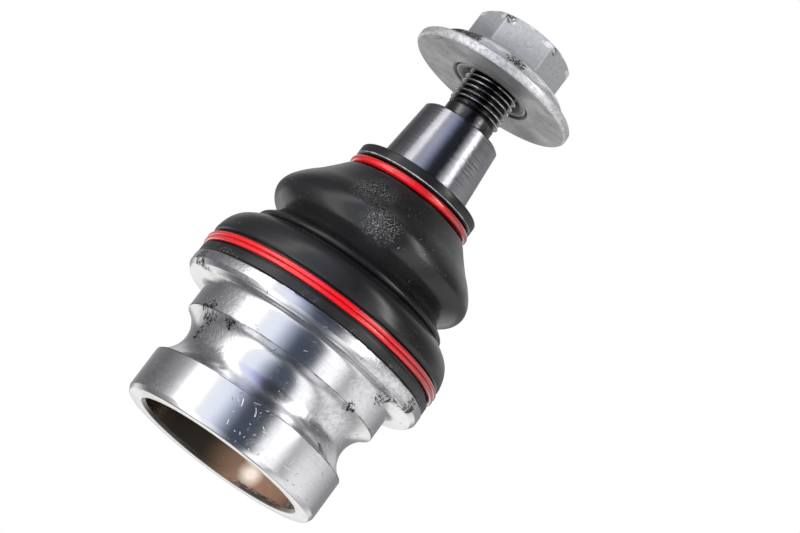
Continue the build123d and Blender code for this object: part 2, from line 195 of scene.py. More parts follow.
class HousingSizes(bpy.types.PropertyGroup):
    """Sizes of the turned housing."""

    barrel_r: length("Barrel radius", "Round that the knuckle clamps", 22.2 * MM)
    end_r: length("End face radius", "Outer edge of the flat end face", 21.6 * MM)
    end_z: length("End chamfer", "Height of the chamfer round the end face", 1.1 * MM)
    mouth_r: length("Mouth radius", "Radius of the open mouth", 18.0 * MM)
    mouth_depth: length("Mouth depth", "Depth of the mouth before its clip", 8.4 * MM)
    groove_z: length("Groove height", "Middle of the pinch bolt groove", 15.15 * MM)
    groove_r: length("Groove section", "Radius of the groove's round section", 6.0 * MM)
    groove_depth: length("Groove depth", "Depth of the pinch bolt groove", 3.15 * MM)
    groove_edge: length("Groove edge", "Rounding of the groove's two edges", 0.3 * MM)
    flange_z: length("Flange underside", "Height of the flange's lower face", 27.0 * MM)
    flange_t: length("Flange thickness", "Thickness of the flange", 3.1 * MM)
    flange_r: length("Flange radius", "Radius of the flange", 27.5 * MM)
    root_r: length("Root fillet", "Fillet between barrel and flange", 1.7 * MM)
    rim_chamfer: length("Flange chamfer", "Chamfer under the flange's rim", 0.8 * MM)
    rim_chamfer_z: length("Chamfer height", "Height of the chamfer under the flange's rim", 1.0 * MM)
    collar_r: length("Collar radius", "Collar that carries the boot", 24.4 * MM)
    collar_top: length("Collar top", "Height of the collar's top", 36.4 * MM)
    collar_chamfer: length("Collar chamfer", "Chamfer round the collar's top", 0.6 * MM)
    bead_r: length("Bead seat", "Radius of the seat for the boot's bead", 23.4 * MM)
    bead_low: length("Bead seat foot", "Height where the bead's seat starts", 31.2 * MM)
    bead_high: length("Bead seat top", "Height where the bead's seat ends", 34.9 * MM)
    opening_top_r: length("Opening", "Radius of the stud's opening at the top", 14.29 * MM)
    opening_low_r: length("Opening foot", "Radius of the stud's opening at the races", 12.04 * MM)
    race_r: length("Race bore", "Radius of the bore for races and spring", 16.0 * MM)
    race_top: length("Race shoulder", "Height of the shoulder over the upper race", 31.98 * MM)
    cover_r: length("Cover bore", "Radius of the bore for the cover", 17.0 * MM)
    cover_top: length("Cover shoulder", "Height of the shoulder over the cover", 12.3 * MM)
    clip_top: length("Clip groove top", "Height where the clip's groove ends", 9.9 * MM)
    clip_bite: length("Clip groove depth", "Depth of the clip's groove, and of the mouth's lead-in", 0.7 * MM)


class BootSizes(bpy.types.PropertyGroup):
    """Sizes of the rubber boot and its wires."""

    wall: length("Wall", "Thickness of the rubber", 1.3 * MM)
    crease_r: length("Crease radius", "Radius of the crease under the upper lobe", 19.3 * MM)
    crease_z: length("Crease height", "Height of the crease under the upper lobe", 46.75 * MM)
    inside_z: length("Inner wall", "Height above the bead where the rubber's inner side starts", 36.5 * MM)
    lower_from: length("Lower bend start", "Height where the lower lobe starts to bend", 35.5 * MM)
    lower_to: length("Lower bend end", "Height where the lower lobe follows the first swing", 45.5 * MM)
    upper_from: length("Upper bend start", "Height where the upper lobe starts to bend", 47.0 * MM)
    upper_to: length("Upper bend end", "Height where the upper lobe follows the neck", 61.5 * MM)
    base_wire_d: length("Base wire", "Thickness of the red spring wire round the base", 1.04 * MM)
    base_wire_r: length("Base wire ring", "Radius to the middle of the base wire", 27.1 * MM)
    base_wire_z: length("Base wire height", "Height where the base wire starts", 32.74 * MM)
    neck_wire_d: length("Neck wire", "Thickness of the red spring wire round the neck", 1.7 * MM)
    neck_wire_r: length("Neck wire ring", "Radius to the middle of the neck wire", 13.35 * MM)
    neck_wire_z: length("Neck wire height", "Height of the neck wire", 64.15 * MM)


class StudSizes(bpy.types.PropertyGroup):
    """Sizes of the stud and its thread."""

    ball_r: length("Ball radius", "Radius of the ball in the housing", 13.5 * MM)
    ball_flat: length("Ball flat", "Depth from the ball's centre to the flat under it", 12.7 * MM)
    neck_r: length("Neck radius", "Waist between ball and taper", 7.2 * MM)
    neck_h: length("Neck height", "Height of the waist's top above the ball's centre", 18.0 * MM)
    taper_r: length("Taper radius", "Radius of the taper at its small end", 8.75 * MM)
    taper_z: length("Taper top", "Height of the taper's small end", 82.6 * MM)
    taper_len: length("Taper length", "Length of the taper down to the flare", 22.0 * MM)
    taper_edge: length("Taper edge", "Chamfer round the taper's small end", 0.4 * MM)
    relief_r: length("Relief radius", "Plain neck below the thread", 5.5 * MM)
    thread_r: length("Thread radius", "Radius over the thread's crests", 5.95 * MM)
    thread_depth: length("Thread depth", "Depth of the thread", 0.767 * MM)
    thread_z: length("Thread start", "Height where the thread starts", 86.1 * MM)
    pitch: length("Pitch", "Pitch of the stud's thread", 1.25 * MM)


class NutSizes(bpy.types.PropertyGroup):
    """Sizes of the flange nut and its washer."""

    across: length("Across flats", "Width of the hexagon", 19.0 * MM)
    corner_r: length("Corner rounding", "Rounding of the hexagon's corners", 0.35 * MM)
    flange_r: length("Nut flange", "Radius of the nut's flange", 14.6 * MM)
    flange_t: length("Nut flange thickness", "Height of the flange above the washer", 2.2 * MM)
    cone_h: length("Nut cone", "Height of the cone between flange and hexagon", 1.9 * MM)
    spigot_r: length("Spigot", "Radius of the spigot that holds the washer", 8.3 * MM)
    washer_r: length("Washer", "Radius of the washer", 18.25 * MM)
    washer_bore: length("Washer bore", "Radius of the washer's bore", 8.5 * MM)
    washer_t: length("Washer rim", "Thickness of the washer at its rim", 2.2 * MM)
    washer_edge: length("Washer edge", "Chamfer round the washer's rim", 0.45 * MM)
    washer_lead: length("Washer lead-in", "Chamfer at the washer's bore", 0.7 * MM)
    turned: FloatProperty(name="Turned", description="Angle of the hexagon", default=math.radians(-3.6),
                          subtype="ANGLE")


class FinishColours(bpy.types.PropertyGroup):
    """Colours of the finishes."""

    zinc: colour("Zinc", "Bright plate of the housing", (0.70, 0.70, 0.72))
    # Grime colour, also used for the painted shade on the nut and washer
    grime: colour("Grime", "Dirt and dark nicks in the plate", (0.045, 0.04, 0.037))
    mouth: colour("Mouth", "Olive stain on the mouth's wall", (0.028, 0.023, 0.019))
    copper: colour("Copper", "Copper stain on the mouth's wall", (0.34, 0.205, 0.14))
    steel: colour("Stud steel", "Ground steel of the stud", (0.30, 0.30, 0.32))
    oxide: colour("Dark thread", "Oiled dark skin of the thread", (0.105, 0.103, 0.102))
    flake: colour("Zinc flake", "Grey coat of nut and washer", (0.46, 0.465, 0.48))
    rubber: colour("Rubber", "Boot", (0.006, 0.006, 0.0065))
    # Also the colour of the painted highlight along the boot's lip
    dust: colour("Dust", "Pale specks on the rubber", (0.42, 0.42, 0.41))
    wire: colour("Wire red", "Coated spring wire", (0.38, 0.003, 0.006))
    race: colour("Race", "Bearing polymer", (0.72, 0.68, 0.58))
    clip: colour("Clip", "Blackened spring steel", (0.05, 0.05, 0.055))
    paper: colour("Floor", "Floor of the studio", (0.86, 0.86, 0.86))


def deselect():
    """Leaves edit mode and selects nothing."""
    if bpy.context.mode != "OBJECT":
        bpy.ops.object.mode_set(mode="OBJECT")
    bpy.ops.object.select_all(action="DESELECT")


def pick(piece):
    """Makes one piece the only selected and active object."""
    deselect()
    piece.select_set(True)
    bpy.context.view_layer.objects.active = piece


def in_metres(corners):
    """Corners given in millimetres, as (radius, height) in metres."""
    return [tuple(value * MM for value in corner) for corner in corners]


def rounded(corners):
    """Outline points from (radius, height) corners; a third number rounds that corner by that radius."""
    points = []
    for index, corner in enumerate(corners):
        here = Vector(corner[:2])
        if len(corner) < 3 or not corner[2]:
            points.append(here)
            continue
        before = Vector(corners[index - 1][:2]) - here
        after = Vector(corners[(index + 1) % len(corners)][:2]) - here
        half = before.angle(after) / 2
        reach = min(corner[2] / math.tan(half), before.length * MOST_OF_SIDE, after.length * MOST_OF_SIDE)
        radius = reach * math.tan(half)
        centre = here + (before.normalized() + after.normalized()).normalized() * (radius / math.sin(half))
        start = here + before.normalized() * reach - centre
        end = here + after.normalized() * reach - centre
        sweep = math.atan2(start.x * end.y - start.y * end.x, start.dot(end))
        for step in range(ROUND_STEPS + 1):
            points.append(centre + Matrix.Rotation(sweep * step / ROUND_STEPS, 2) @ start)
    return points


def arc(centre, radii, start_deg, end_deg, steps):
    """Points along an ellipse about a centre, from one angle to another."""
    points = []
    for step in range(steps + 1):
        angle = math.radians(start_deg + (end_deg - start_deg) * step / steps)
        reach = Vector((radii[0] * math.cos(angle), radii[1] * math.sin(angle)))
        points.append(Vector(centre) + reach)
    return points


def smooth_through(corners, steps):
    """Points of a smooth curve that passes through every corner."""
    marks = [Vector(corner) for corner in corners]
    marks = [2 * marks[0] - marks[1]] + marks + [2 * marks[-1] - marks[-2]]
    points = []
    for index in range(1, len(marks) - 2):
        a, b, c, d = marks[index - 1:index + 3]
        for step in range(steps):
            t = step / steps
            points.append(0.5 * (2 * b + (c - a) * t + (2 * a - 5 * b + 4 * c - d) * t**2
                                 + (3 * b - a - 3 * c + d) * t**3))
    return points + [marks[-2]]


def one_wall_inside(points, wall):
    """The same curve moved one wall towards the axis, for a curve that runs upwards."""
    moved = []
    for index, point in enumerate(points):
        along = points[min(index + 1, len(points) - 1)] - points[max(index - 1, 0)]
        moved.append(point + Vector((-along.y, along.x)).normalized() * wall)
    return moved


def draw_outline(name, points, closed=True):
    """A mesh of edges through (radius, height) points, extruded one after another from a single vertex."""
    deselect()
    bpy.ops.mesh.primitive_plane_add(size=MM, location=(0, 0, 0))
    piece = bpy.context.object
    piece.name = name
    piece.data.name = name
    bpy.ops.object.mode_set(mode="EDIT")
    bpy.ops.mesh.merge(type="CENTER")
    bpy.ops.transform.translate(value=(points[0][0], 0, points[0][1]))
    last = points[0]
    for point in list(points[1:]) + ([points[0]] if closed else []):
        move = (point[0] - last[0], 0, point[1] - last[1])
        bpy.ops.mesh.extrude_region_move(TRANSFORM_OT_translate={"value": move})
        last = point
    bpy.ops.mesh.select_all(action="SELECT")
    bpy.ops.mesh.remove_doubles(threshold=WELD)
    return piece


def finish_mesh(piece, smooth_deg=SMOOTH_DEG):
    """Merges doubles, points the faces outwards and shades them smooth up to an angle."""
    pick(piece)
    bpy.ops.object.mode_set(mode="EDIT")
    bpy.ops.mesh.select_all(action="SELECT")
    bpy.ops.mesh.remove_doubles(threshold=WELD)
    bpy.ops.mesh.normals_make_consistent(inside=False)
    bpy.ops.object.mode_set(mode="OBJECT")
    bpy.ops.object.shade_smooth_by_angle(angle=math.radians(smooth_deg))
    return piece


def turn(name, points, steps=TURN_STEPS):
    """A solid of revolution about Z from a closed outline of (radius, height) points."""
    piece = draw_outline(name, points)
    bpy.ops.mesh.spin(steps=steps, angle=math.tau, center=(0, 0, 0), axis=(0, 0, 1))
    return finish_mesh(piece)


def must_be_closed(piece):
    """Gives back a piece whose every edge joins two faces, and stops the script at any other."""
    uses = Counter(key for face in piece.data.polygons for key in face.edge_keys)
    loose = sum(1 for count in uses.values() if count != 2)
    if loose:
        raise RuntimeError(f"{piece.name}: {loose} edges don't join two faces")
    return piece


def combine(piece, other, operation):
    """Applies a boolean of one closed piece with another and removes the other."""
    pick(piece)
    cut = piece.modifiers.new("Cut", "BOOLEAN")
    cut.object = other
    cut.operation = operation
    cut.solver = "EXACT"
    bpy.ops.object.modifier_apply(modifier=cut.name)
    bpy.data.objects.remove(other, do_unlink=True)
    if not piece.data.polygons:
        raise RuntimeError(f"{piece.name}: nothing is left after {operation}")
    return finish_mesh(piece)


def swing(angle):
    """Turns what is selected about Z, counter-clockwise as seen from above."""
    bpy.ops.transform.rotate(value=-angle, orient_axis="Z", center_override=(0, 0, 0))


def lay_wire(name, centre_r, low_z, wire_r, rises):
    """Round wire laid about Z from a filled circle, extruded once for each rise in height."""
    deselect()
    bpy.ops.mesh.primitive_circle_add(vertices=WIRE_SIDES, radius=wire_r, fill_type="NGON",
                                      location=(centre_r, 0, low_z), rotation=(math.pi / 2, 0, 0))
    piece = bpy.context.object
    piece.name = name
    piece.data.name = name
    bpy.ops.object.transform_apply(location=True, rotation=True)
    bpy.ops.object.mode_set(mode="EDIT")
    bpy.ops.mesh.select_all(action="SELECT")
    swing(math.radians(WIRE_END_DEG))
    for rise in rises:
        bpy.ops.mesh.extrude_region_move(TRANSFORM_OT_translate={"value": (0, 0, rise)})
        swing(math.radians(WIRE_STEP_DEG))
    return finish_mesh(piece, WIRE_SMOOTH_DEG)


def replace_slots(piece, material):
    """Gives a piece one material in place of any it has."""
    piece.data.materials.clear()
    piece.data.materials.append(material)
    return piece


# Finishes


def add(tree, kind, inputs=None, **settings):
    """Adds a node, sets its settings and its inputs, and links the sockets given among them."""
    node = tree.nodes.new(kind)
    for name, value in settings.items():
        setattr(node, name, value)
    for key, value in (inputs or {}).items():
        if isinstance(value, bpy.types.NodeSocket):
            tree.links.new(value, node.inputs[key])
        else:
            node.inputs[key].default_value = value
    return node


def maths(tree, operation, first, second=0.0):
    """Output of one Math node."""
    return add(tree, "ShaderNodeMath", {0: first, 1: second}, operation=operation).outputs[0]


def product(tree, first, *others):
    """Product of sockets or numbers."""
    for other in others:
        first = maths(tree, "MULTIPLY", first, other)
    return first


def fade(tree, value, start, end, low=0.0, high=1.0):
    """A value carried smoothly from one range to another and held at both ends."""
    inputs = {"Value": value, "From Min": start, "From Max": end, "To Min": low, "To Max": high}
    return add(tree, "ShaderNodeMapRange", inputs, interpolation_type="SMOOTHSTEP").outputs[0]


def blend_colours(tree, factor, first, second):
    """Mixes two colours by a factor."""
    inputs = {0: factor, 6: opaque(first), 7: opaque(second)}
    return add(tree, "ShaderNodeMix", inputs, data_type="RGBA").outputs[2]


def opaque(value):
    """A colour with its alpha, or the socket that was given."""
    return value if isinstance(value, bpy.types.NodeSocket) else (*value, 1.0)


def toned(shade, share):
    """A colour made darker or lighter by a share."""
    return tuple(value * share for value in shade)


def new_group(name, inputs, outputs):
    """A shader node group, what it is given and what it puts out; a None default makes a vector socket."""
    group = bpy.data.node_groups.new(name, "ShaderNodeTree")
    for label, default in inputs.items():
        kind = "NodeSocketVector" if default is None else "NodeSocketFloat"
        socket = group.interface.new_socket(name=label, in_out="INPUT", socket_type=kind)
        if default is not None:
            socket.default_value = default
    for label in outputs:
        group.interface.new_socket(name=label, in_out="OUTPUT", socket_type="NodeSocketFloat")
    return group, group.nodes.new("NodeGroupInput").outputs, group.nodes.new("NodeGroupOutput").inputs


def turned_place_group():
    """Radius, height and way round in millimetres of a point on a turned piece."""
    group, given, result = new_group("Turned Place", {"Place": None}, ("Radius", "Height", "Round"))
    split = add(group, "ShaderNodeSeparateXYZ", {0: given["Place"]})
    flat = add(group, "ShaderNodeCombineXYZ", {0: split.outputs[0], 1: split.outputs[1]})
    reach = add(group, "ShaderNodeVectorMath", {0: flat.outputs[0]}, operation="LENGTH").outputs["Value"]
    radius = product(group, reach, 1 / MM)
    azimuth = maths(group, "ARCTAN2", split.outputs[0], product(group, split.outputs[1], -1.0))
    group.links.new(radius, result["Radius"])
    group.links.new(product(group, split.outputs[2], 1 / MM), result["Height"])
    group.links.new(product(group, azimuth, radius), result["Round"])
    return group


def turning_marks_group():
    """Fine rings that a lathe leaves, broken a little along their way."""
    inputs = {"Place": None, "Radius": 0.0, "Height": 0.0, "Line": 0.2, "Break": 1.5, "Contrast": 0.5}
    group, given, result = new_group("Turning Marks", inputs, ("Mark",))
    facing = add(group, "ShaderNodeVectorMath", {0: given["Place"]}, operation="NORMALIZE")
    sides = add(group, "ShaderNodeSeparateXYZ", {0: facing.outputs[0]})
    along = maths(group, "DIVIDE", given["Height"], given["Line"])
    across = maths(group, "DIVIDE", given["Radius"], given["Line"])
    where = add(group, "ShaderNodeCombineXYZ", {
        0: product(group, sides.outputs[0], given["Break"]),
        1: product(group, sides.outputs[1], given["Break"]),
        2: along,
    })
    rings = add(group, "ShaderNodeTexNoise", {
        "Vector": where.outputs[0], "W": across, "Scale": 1.0, "Detail": 2.5, "Roughness": 0.6,
    }, noise_dimensions="4D")
    spread = product(group, given["Contrast"], 0.5)
    low = maths(group, "SUBTRACT", 0.5, spread)
    high = maths(group, "ADD", 0.5, spread)
    group.links.new(fade(group, rings.outputs[0], low, high), result["Mark"])
    return group


def scratches_group():
    """Short nicks, each with its own length and direction, on a turned surface laid flat."""
    inputs = {"Flat": None, "Scale": 0.5, "Length": 0.8, "Width": 0.06, "Amount": 0.4}
    group, given, result = new_group("Fine Scratches", inputs, ("Scratch",))
    cells = add(group, "ShaderNodeTexVoronoi", {"Vector": given["Flat"], "Scale": given["Scale"]},
                voronoi_dimensions="2D")
    chance = add(group, "ShaderNodeSeparateColor", {0: cells.outputs["Color"]})
    apart = add(group, "ShaderNodeVectorMath", {0: given["Flat"], 1: cells.outputs["Position"]},
                operation="SUBTRACT")
    split = add(group, "ShaderNodeSeparateXYZ", {0: apart.outputs[0]})
    lean = product(group, chance.outputs[0], math.pi)
    cosine, sine = maths(group, "COSINE", lean), maths(group, "SINE", lean)
    east, north = split.outputs[0], split.outputs[1]
    along = maths(group, "ADD", product(group, east, cosine), product(group, north, sine))
    across = maths(group, "SUBTRACT", product(group, north, cosine), product(group, east, sine))
    bow = product(group, along, along, SCRATCH_BOW)
    off_line = maths(group, "ABSOLUTE", maths(group, "SUBTRACT", across, bow))
    share = product(group, chance.outputs[1], chance.outputs[1])
    reach = product(group, given["Length"], fade(group, share, 0.0, 1.0, SHORTEST_SCRATCH, 1.0))
    line = fade(group, off_line, given["Width"], product(group, given["Width"], 0.3))
    ends = fade(group, maths(group, "ABSOLUTE", along), reach, product(group, reach, 0.6))
    kept = maths(group, "LESS_THAN", chance.outputs[2], given["Amount"])
    group.links.new(product(group, line, ends, kept), result["Scratch"])
    return group


def pits_group():
    """Ragged dark knocks of uneven size, longer round the piece than along it."""
    inputs = {"Flat": None, "Scale": 1.0, "Stretch": 2.0, "Amount": 0.4}
    group, given, result = new_group("Pits", inputs, ("Pit",))
    lie = add(group, "ShaderNodeCombineXYZ", {0: 1.0, 1: given["Stretch"], 2: 1.0})
    where = add(group, "ShaderNodeVectorMath", {0: given["Flat"], 1: lie.outputs[0]}, operation="MULTIPLY")
    rough = add(group, "ShaderNodeTexNoise", {
        "Vector": where.outputs[0], "Scale": given["Scale"], "Detail": 5.0, "Roughness": 0.72,
        "Distortion": 0.8,
    })
    limit = maths(group, "SUBTRACT", 1.0, given["Amount"])
    pit = fade(group, rough.outputs[0], limit, maths(group, "ADD", limit, 0.025))
    group.links.new(pit, result["Pit"])
    return group


def specks_group():
    """Small round specks, each of its own size, where their amount allows."""
    inputs = {"Place": None, "Scale": 900.0, "Amount": 0.3}
    group, given, result = new_group("Specks", inputs, ("Speck",))
    cells = add(group, "ShaderNodeTexVoronoi", {"Vector": given["Place"], "Scale": given["Scale"]})
    chance = add(group, "ShaderNodeSeparateColor", {0: cells.outputs["Color"]})
    size = maths(group, "SUBTRACT", given["Amount"], chance.outputs[0])
    wide = product(group, size, 0.8)
    speck = fade(group, maths(group, "SUBTRACT", wide, cells.outputs["Distance"]), 0.0, 0.12)
    group.links.new(speck, result["Speck"])
    return group


def edge_band_group():
    """Band along a turned edge at a radius and height, with a broken border; used for worn edges, for painted
    shade and for a painted highlight.
    """
    inputs = {"Place": None, "Radius": 0.0, "Height": 0.0, "Edge Radius": 10.0, "Edge Height": 0.0,
              "Width": 0.5}
    group, given, result = new_group("Edge Wear", inputs, ("Wear",))
    apart = maths(group, "SUBTRACT", given["Radius"], given["Edge Radius"])
    above = maths(group, "SUBTRACT", given["Height"], given["Edge Height"])
    squares = maths(group, "ADD", product(group, apart, apart), product(group, above, above))
    ragged = add(group, "ShaderNodeTexNoise", {
        "Vector": given["Place"], "Scale": 420.0, "Detail": 4.0, "Roughness": 0.7,
    })
    reach = product(group, given["Width"], fade(group, ragged.outputs[0], 0.3, 0.7, 0.3, 1.6))
    worn = fade(group, maths(group, "SQRT", squares), reach, product(group, reach, 0.45))
    group.links.new(worn, result["Wear"])
    return group


def patch_group():
    """Soft round patch about one place, in millimetres."""
    inputs = {"Place": None, "Centre": None, "Size": 5.0}
    group, given, result = new_group("Patch", inputs, ("Patch",))
    apart = add(group, "ShaderNodeVectorMath", {0: given["Place"], 1: given["Centre"]},
                operation="DISTANCE").outputs["Value"]
    gap = product(group, apart, 1 / MM)
    patch = fade(group, gap, given["Size"], product(group, given["Size"], 0.2))
    group.links.new(patch, result["Patch"])
    return group


GROUP_MAKERS = {
    "Turned Place": turned_place_group,
    "Turning Marks": turning_marks_group,
    "Fine Scratches": scratches_group,
    "Pits": pits_group,
    "Specks": specks_group,
    "Edge Wear": edge_band_group,
    "Patch": patch_group,
}


class Finish:
    """One material under construction: its tree, its shader and its place on the piece."""

    def __init__(self, name):
        """Starts an empty material with the object's own coordinates."""
        self.material = bpy.data.materials.new(name)
        self.material.use_nodes = True
        self.tree = self.material.node_tree
        self.shader = self.tree.nodes["Principled BSDF"]
        self.place = add(self.tree, "ShaderNodeTexCoord").outputs["Object"]
        self.given = {"Place": self.place}
        turned = self.effect("Turned Place").outputs
        self.radius, self.height = turned["Radius"], turned["Height"]
        slant = maths(self.tree, "SUBTRACT", self.height, product(self.tree, self.radius, 0.5))
        flat = add(self.tree, "ShaderNodeCombineXYZ", {0: turned["Round"], 1: slant}).outputs[0]
        self.given.update({"Radius": self.radius, "Height": self.height, "Flat": flat})

    def effect(self, name, **inputs):
        """Places one of the shared groups, making it first if it is new."""
        group = bpy.data.node_groups.get(name) or GROUP_MAKERS[name]()
        values = {key.replace("_", " "): value for key, value in inputs.items()}
        for item in group.interface.items_tree:
            if item.in_out == "INPUT" and item.name in self.given:
                values[item.name] = self.given[item.name]
        return add(self.tree, "ShaderNodeGroup", values, node_tree=group)

    def marks(self, line, broken, contrast=0.5):
        """Mask of lathe rings."""
        return self.effect("Turning Marks", Line=line, Break=broken, Contrast=contrast).outputs[0]

    def scratches(self, scale, long, width, amount):
        """Mask of short nicks, with their cells per millimetre and sizes in millimetres."""
        return self.effect("Fine Scratches", Scale=scale, Length=long, Width=width, Amount=amount).outputs[0]

    def pits(self, scale, amount, stretch=2.0):
        """Mask of ragged knocks."""
        return self.effect("Pits", Scale=scale, Amount=amount, Stretch=stretch).outputs[0]

    def rise(self, value, start, end):
        """Mask that grows from nothing at one height or radius to its full at another."""
        return fade(self.tree, value, start, end)

    def band(self, value, low, high, soft):
        """Mask between two values of a height or a radius."""
        return self.times(self.rise(value, low - soft, low), self.rise(value, high + soft, high))

    def specks(self, scale, amount):
        """Mask of specks."""
        return self.effect("Specks", Scale=scale, Amount=amount).outputs[0]

    def edges(self, places):
        """Mask of bands along turned edges: wear on housing and nut, painted shade on the washer, a painted
        highlight on the boot's lip.
        """
        return self.most(*(
            self.effect("Edge Wear", Edge_Radius=radius, Edge_Height=height, Width=width).outputs[0]
            for radius, height, width in places
        ))

    def patch(self, radius, azimuth_deg, height, size):
        """Mask round one place on a turned side; azimuth 0 is the side of -Y, positive towards +X."""
        angle = math.radians(azimuth_deg)
        centre = (radius * MM * math.sin(angle), -radius * MM * math.cos(angle), height * MM)
        return self.effect("Patch", Centre=centre, Size=size).outputs[0]

    def patches(self, places):
        """Mask round each of several places."""
        return self.most(*(self.patch(*place) for place in places))

    def noise(self, scale, low=0.35, high=0.65, detail=3.0, roughness=0.55):
        """Soft cloudy mask."""
        inputs = {"Vector": self.place, "Scale": scale, "Detail": detail, "Roughness": roughness}
        cloud = add(self.tree, "ShaderNodeTexNoise", inputs)
        return fade(self.tree, cloud.outputs[0], low, high)

    def most(self, *masks):
        """Largest of several masks."""
        result = masks[0]
        for mask in masks[1:]:
            result = maths(self.tree, "MAXIMUM", result, mask)
        return result

    def times(self, *masks):
        """Product of masks or numbers."""
        return product(self.tree, *masks)

    def mix(self, factor, first, second):
        """Mix of two colours."""
        return blend_colours(self.tree, factor, first, second)

    def level(self, mask, low, high):
        """A mask carried to a range of values."""
        return fade(self.tree, mask, 0.0, 1.0, low, high)

    def bump(self, height, distance_mm, strength, under=None):
        """Normal from a height mask, laid over another normal if one is given."""
        inputs = {"Height": height, "Distance": distance_mm * MM, "Strength": strength}
        if under is not None:
            inputs["Normal"] = under
        return add(self.tree, "ShaderNodeBump", inputs).outputs[0]

    def put(self, **sockets):
        """Links or sets sockets of the shader by their names, with underscores for spaces."""
        for key, value in sockets.items():
            socket = self.shader.inputs[key.replace("_", " ")]
            if isinstance(value, bpy.types.NodeSocket):
                self.tree.links.new(value, socket)
            elif isinstance(value, tuple):
                socket.default_value = opaque(value)
            else:
                socket.default_value = value
        return self.material


def finish_colours():
    """The colours that a user may change, as plain tuples."""
    colours = bpy.context.scene.finish_colours
    return {name: tuple(getattr(colours, name)) for name in FinishColours.__annotations__}


def mouth_stain_and_painted_highlight(skin, haze):
    """Colour of the mouth's wall, from olive through copper to soot, with a pale painted highlight on it, and
    the mask of that painted highlight.
    """
    tint = finish_colours()
    copper = skin.mix(skin.noise(70, 0.35, 0.7), tint["copper"], toned(tint["copper"], 0.7))
    stain = skin.mix(skin.patches(COPPERED), tint["mouth"], copper)
    # Painted highlight: a pale spot on the mouth's wall that stands in for its bright reflection
    rubbed = skin.times(skin.patches(PAINTED_HIGHLIGHT_SPOTS), 0.8)
    stain = skin.mix(skin.times(rubbed, skin.level(haze, 1.0, 0.7)), stain, (0.95, 0.84, 0.74))
    sooted = skin.times(skin.patches(SOOTED), skin.rise(skin.height, *SOOT_Z), 0.60)
    return skin.mix(skin.pits(0.7, sooted, 5.0), stain, tint["grime"]), rubbed


def housing_finish():
    """Bright plate with lathe rings, scuffs, dark nicks, a bronze stain in the mouth and a pale painted
    highlight there.
    """
    tint = finish_colours()
    skin = Finish("housing_zinc")
    rings = skin.times(skin.marks(0.14, 1.6, 0.6), skin.noise(55, 0.42, 0.62, 3.0), 0.8)
    clouds = skin.noise(60, 0.35, 0.7, 4.0, 0.6)
    haze = skin.noise(260, 0.45, 0.7, 5.0, 0.75)
    peened = skin.times(skin.noise(900, 0.42, 0.62, 4.0, 0.7), skin.patches(PEENED))
    in_mouth = skin.times(skin.rise(skin.radius, MOUTH_EDGE_R + 0.15, MOUTH_EDGE_R - 0.15),
                          skin.rise(skin.height, *MOUTH_END_Z))
    outside = skin.rise(skin.radius, MOUTH_EDGE_R - 0.2, MOUTH_EDGE_R + 0.2)
    nicked = skin.level(skin.most(skin.patches(NICKED), skin.noise(45, 0.5, 0.75)), 0.05, 0.42)
    light_nicks = skin.times(skin.scratches(0.66, 1.3, 0.05, nicked), outside)
    dark_nicks = skin.times(skin.scratches(0.55, 0.5, 0.08, 0.16), outside)
    knocked = skin.patches(KNOCKED)
    knocks = skin.times(skin.pits(0.9, skin.level(knocked, 0.22, 0.50)), outside)
    grit = skin.times(skin.pits(2.4, skin.level(knocked, 0.30, 0.46), 1.3), outside)
    dirt = skin.most(knocks, skin.times(peened, 0.22), skin.times(grit, 0.85), skin.times(dark_nicks, 0.75),
                     skin.times(skin.edges(HOUSING_EDGES), 0.7))
    ringed = skin.times(rings, skin.level(clouds, 0.1, 0.45))
    bare = skin.mix(ringed, tint["zinc"], toned(tint["zinc"], 0.72))
    worn = skin.mix(light_nicks, bare, (0.98, 0.98, 0.98))
    dirty = skin.mix(dirt, worn, tint["grime"])
    # The second value is the mask of the mouth's painted highlight
    stain, rubbed = mouth_stain_and_painted_highlight(skin, haze)
    dull = skin.most(skin.times(haze, 0.5), skin.times(rings, 0.6), light_nicks, dirt)
    dents = skin.most(light_nicks, skin.times(knocks, 0.8), dark_nicks, grit, skin.times(peened, 0.6))
    turned = skin.bump(skin.times(rings, outside), 0.012, 0.25)
    # Less metal in the mouth's stain, and still less in its painted highlight, so that the pale painted
    # colour shows
    stain_and_painted_highlight_mask = skin.most(skin.times(in_mouth, 0.7), skin.times(in_mouth, rubbed))
    return skin.put(Base_Color=skin.mix(in_mouth, dirty, stain), Metallic=skin.level(stain_and_painted_highlight_mask, 1.0, 0.1),
                    Roughness=skin.level(dull, 0.17, 0.42), Normal=skin.bump(dents, -0.05, 0.5, turned))


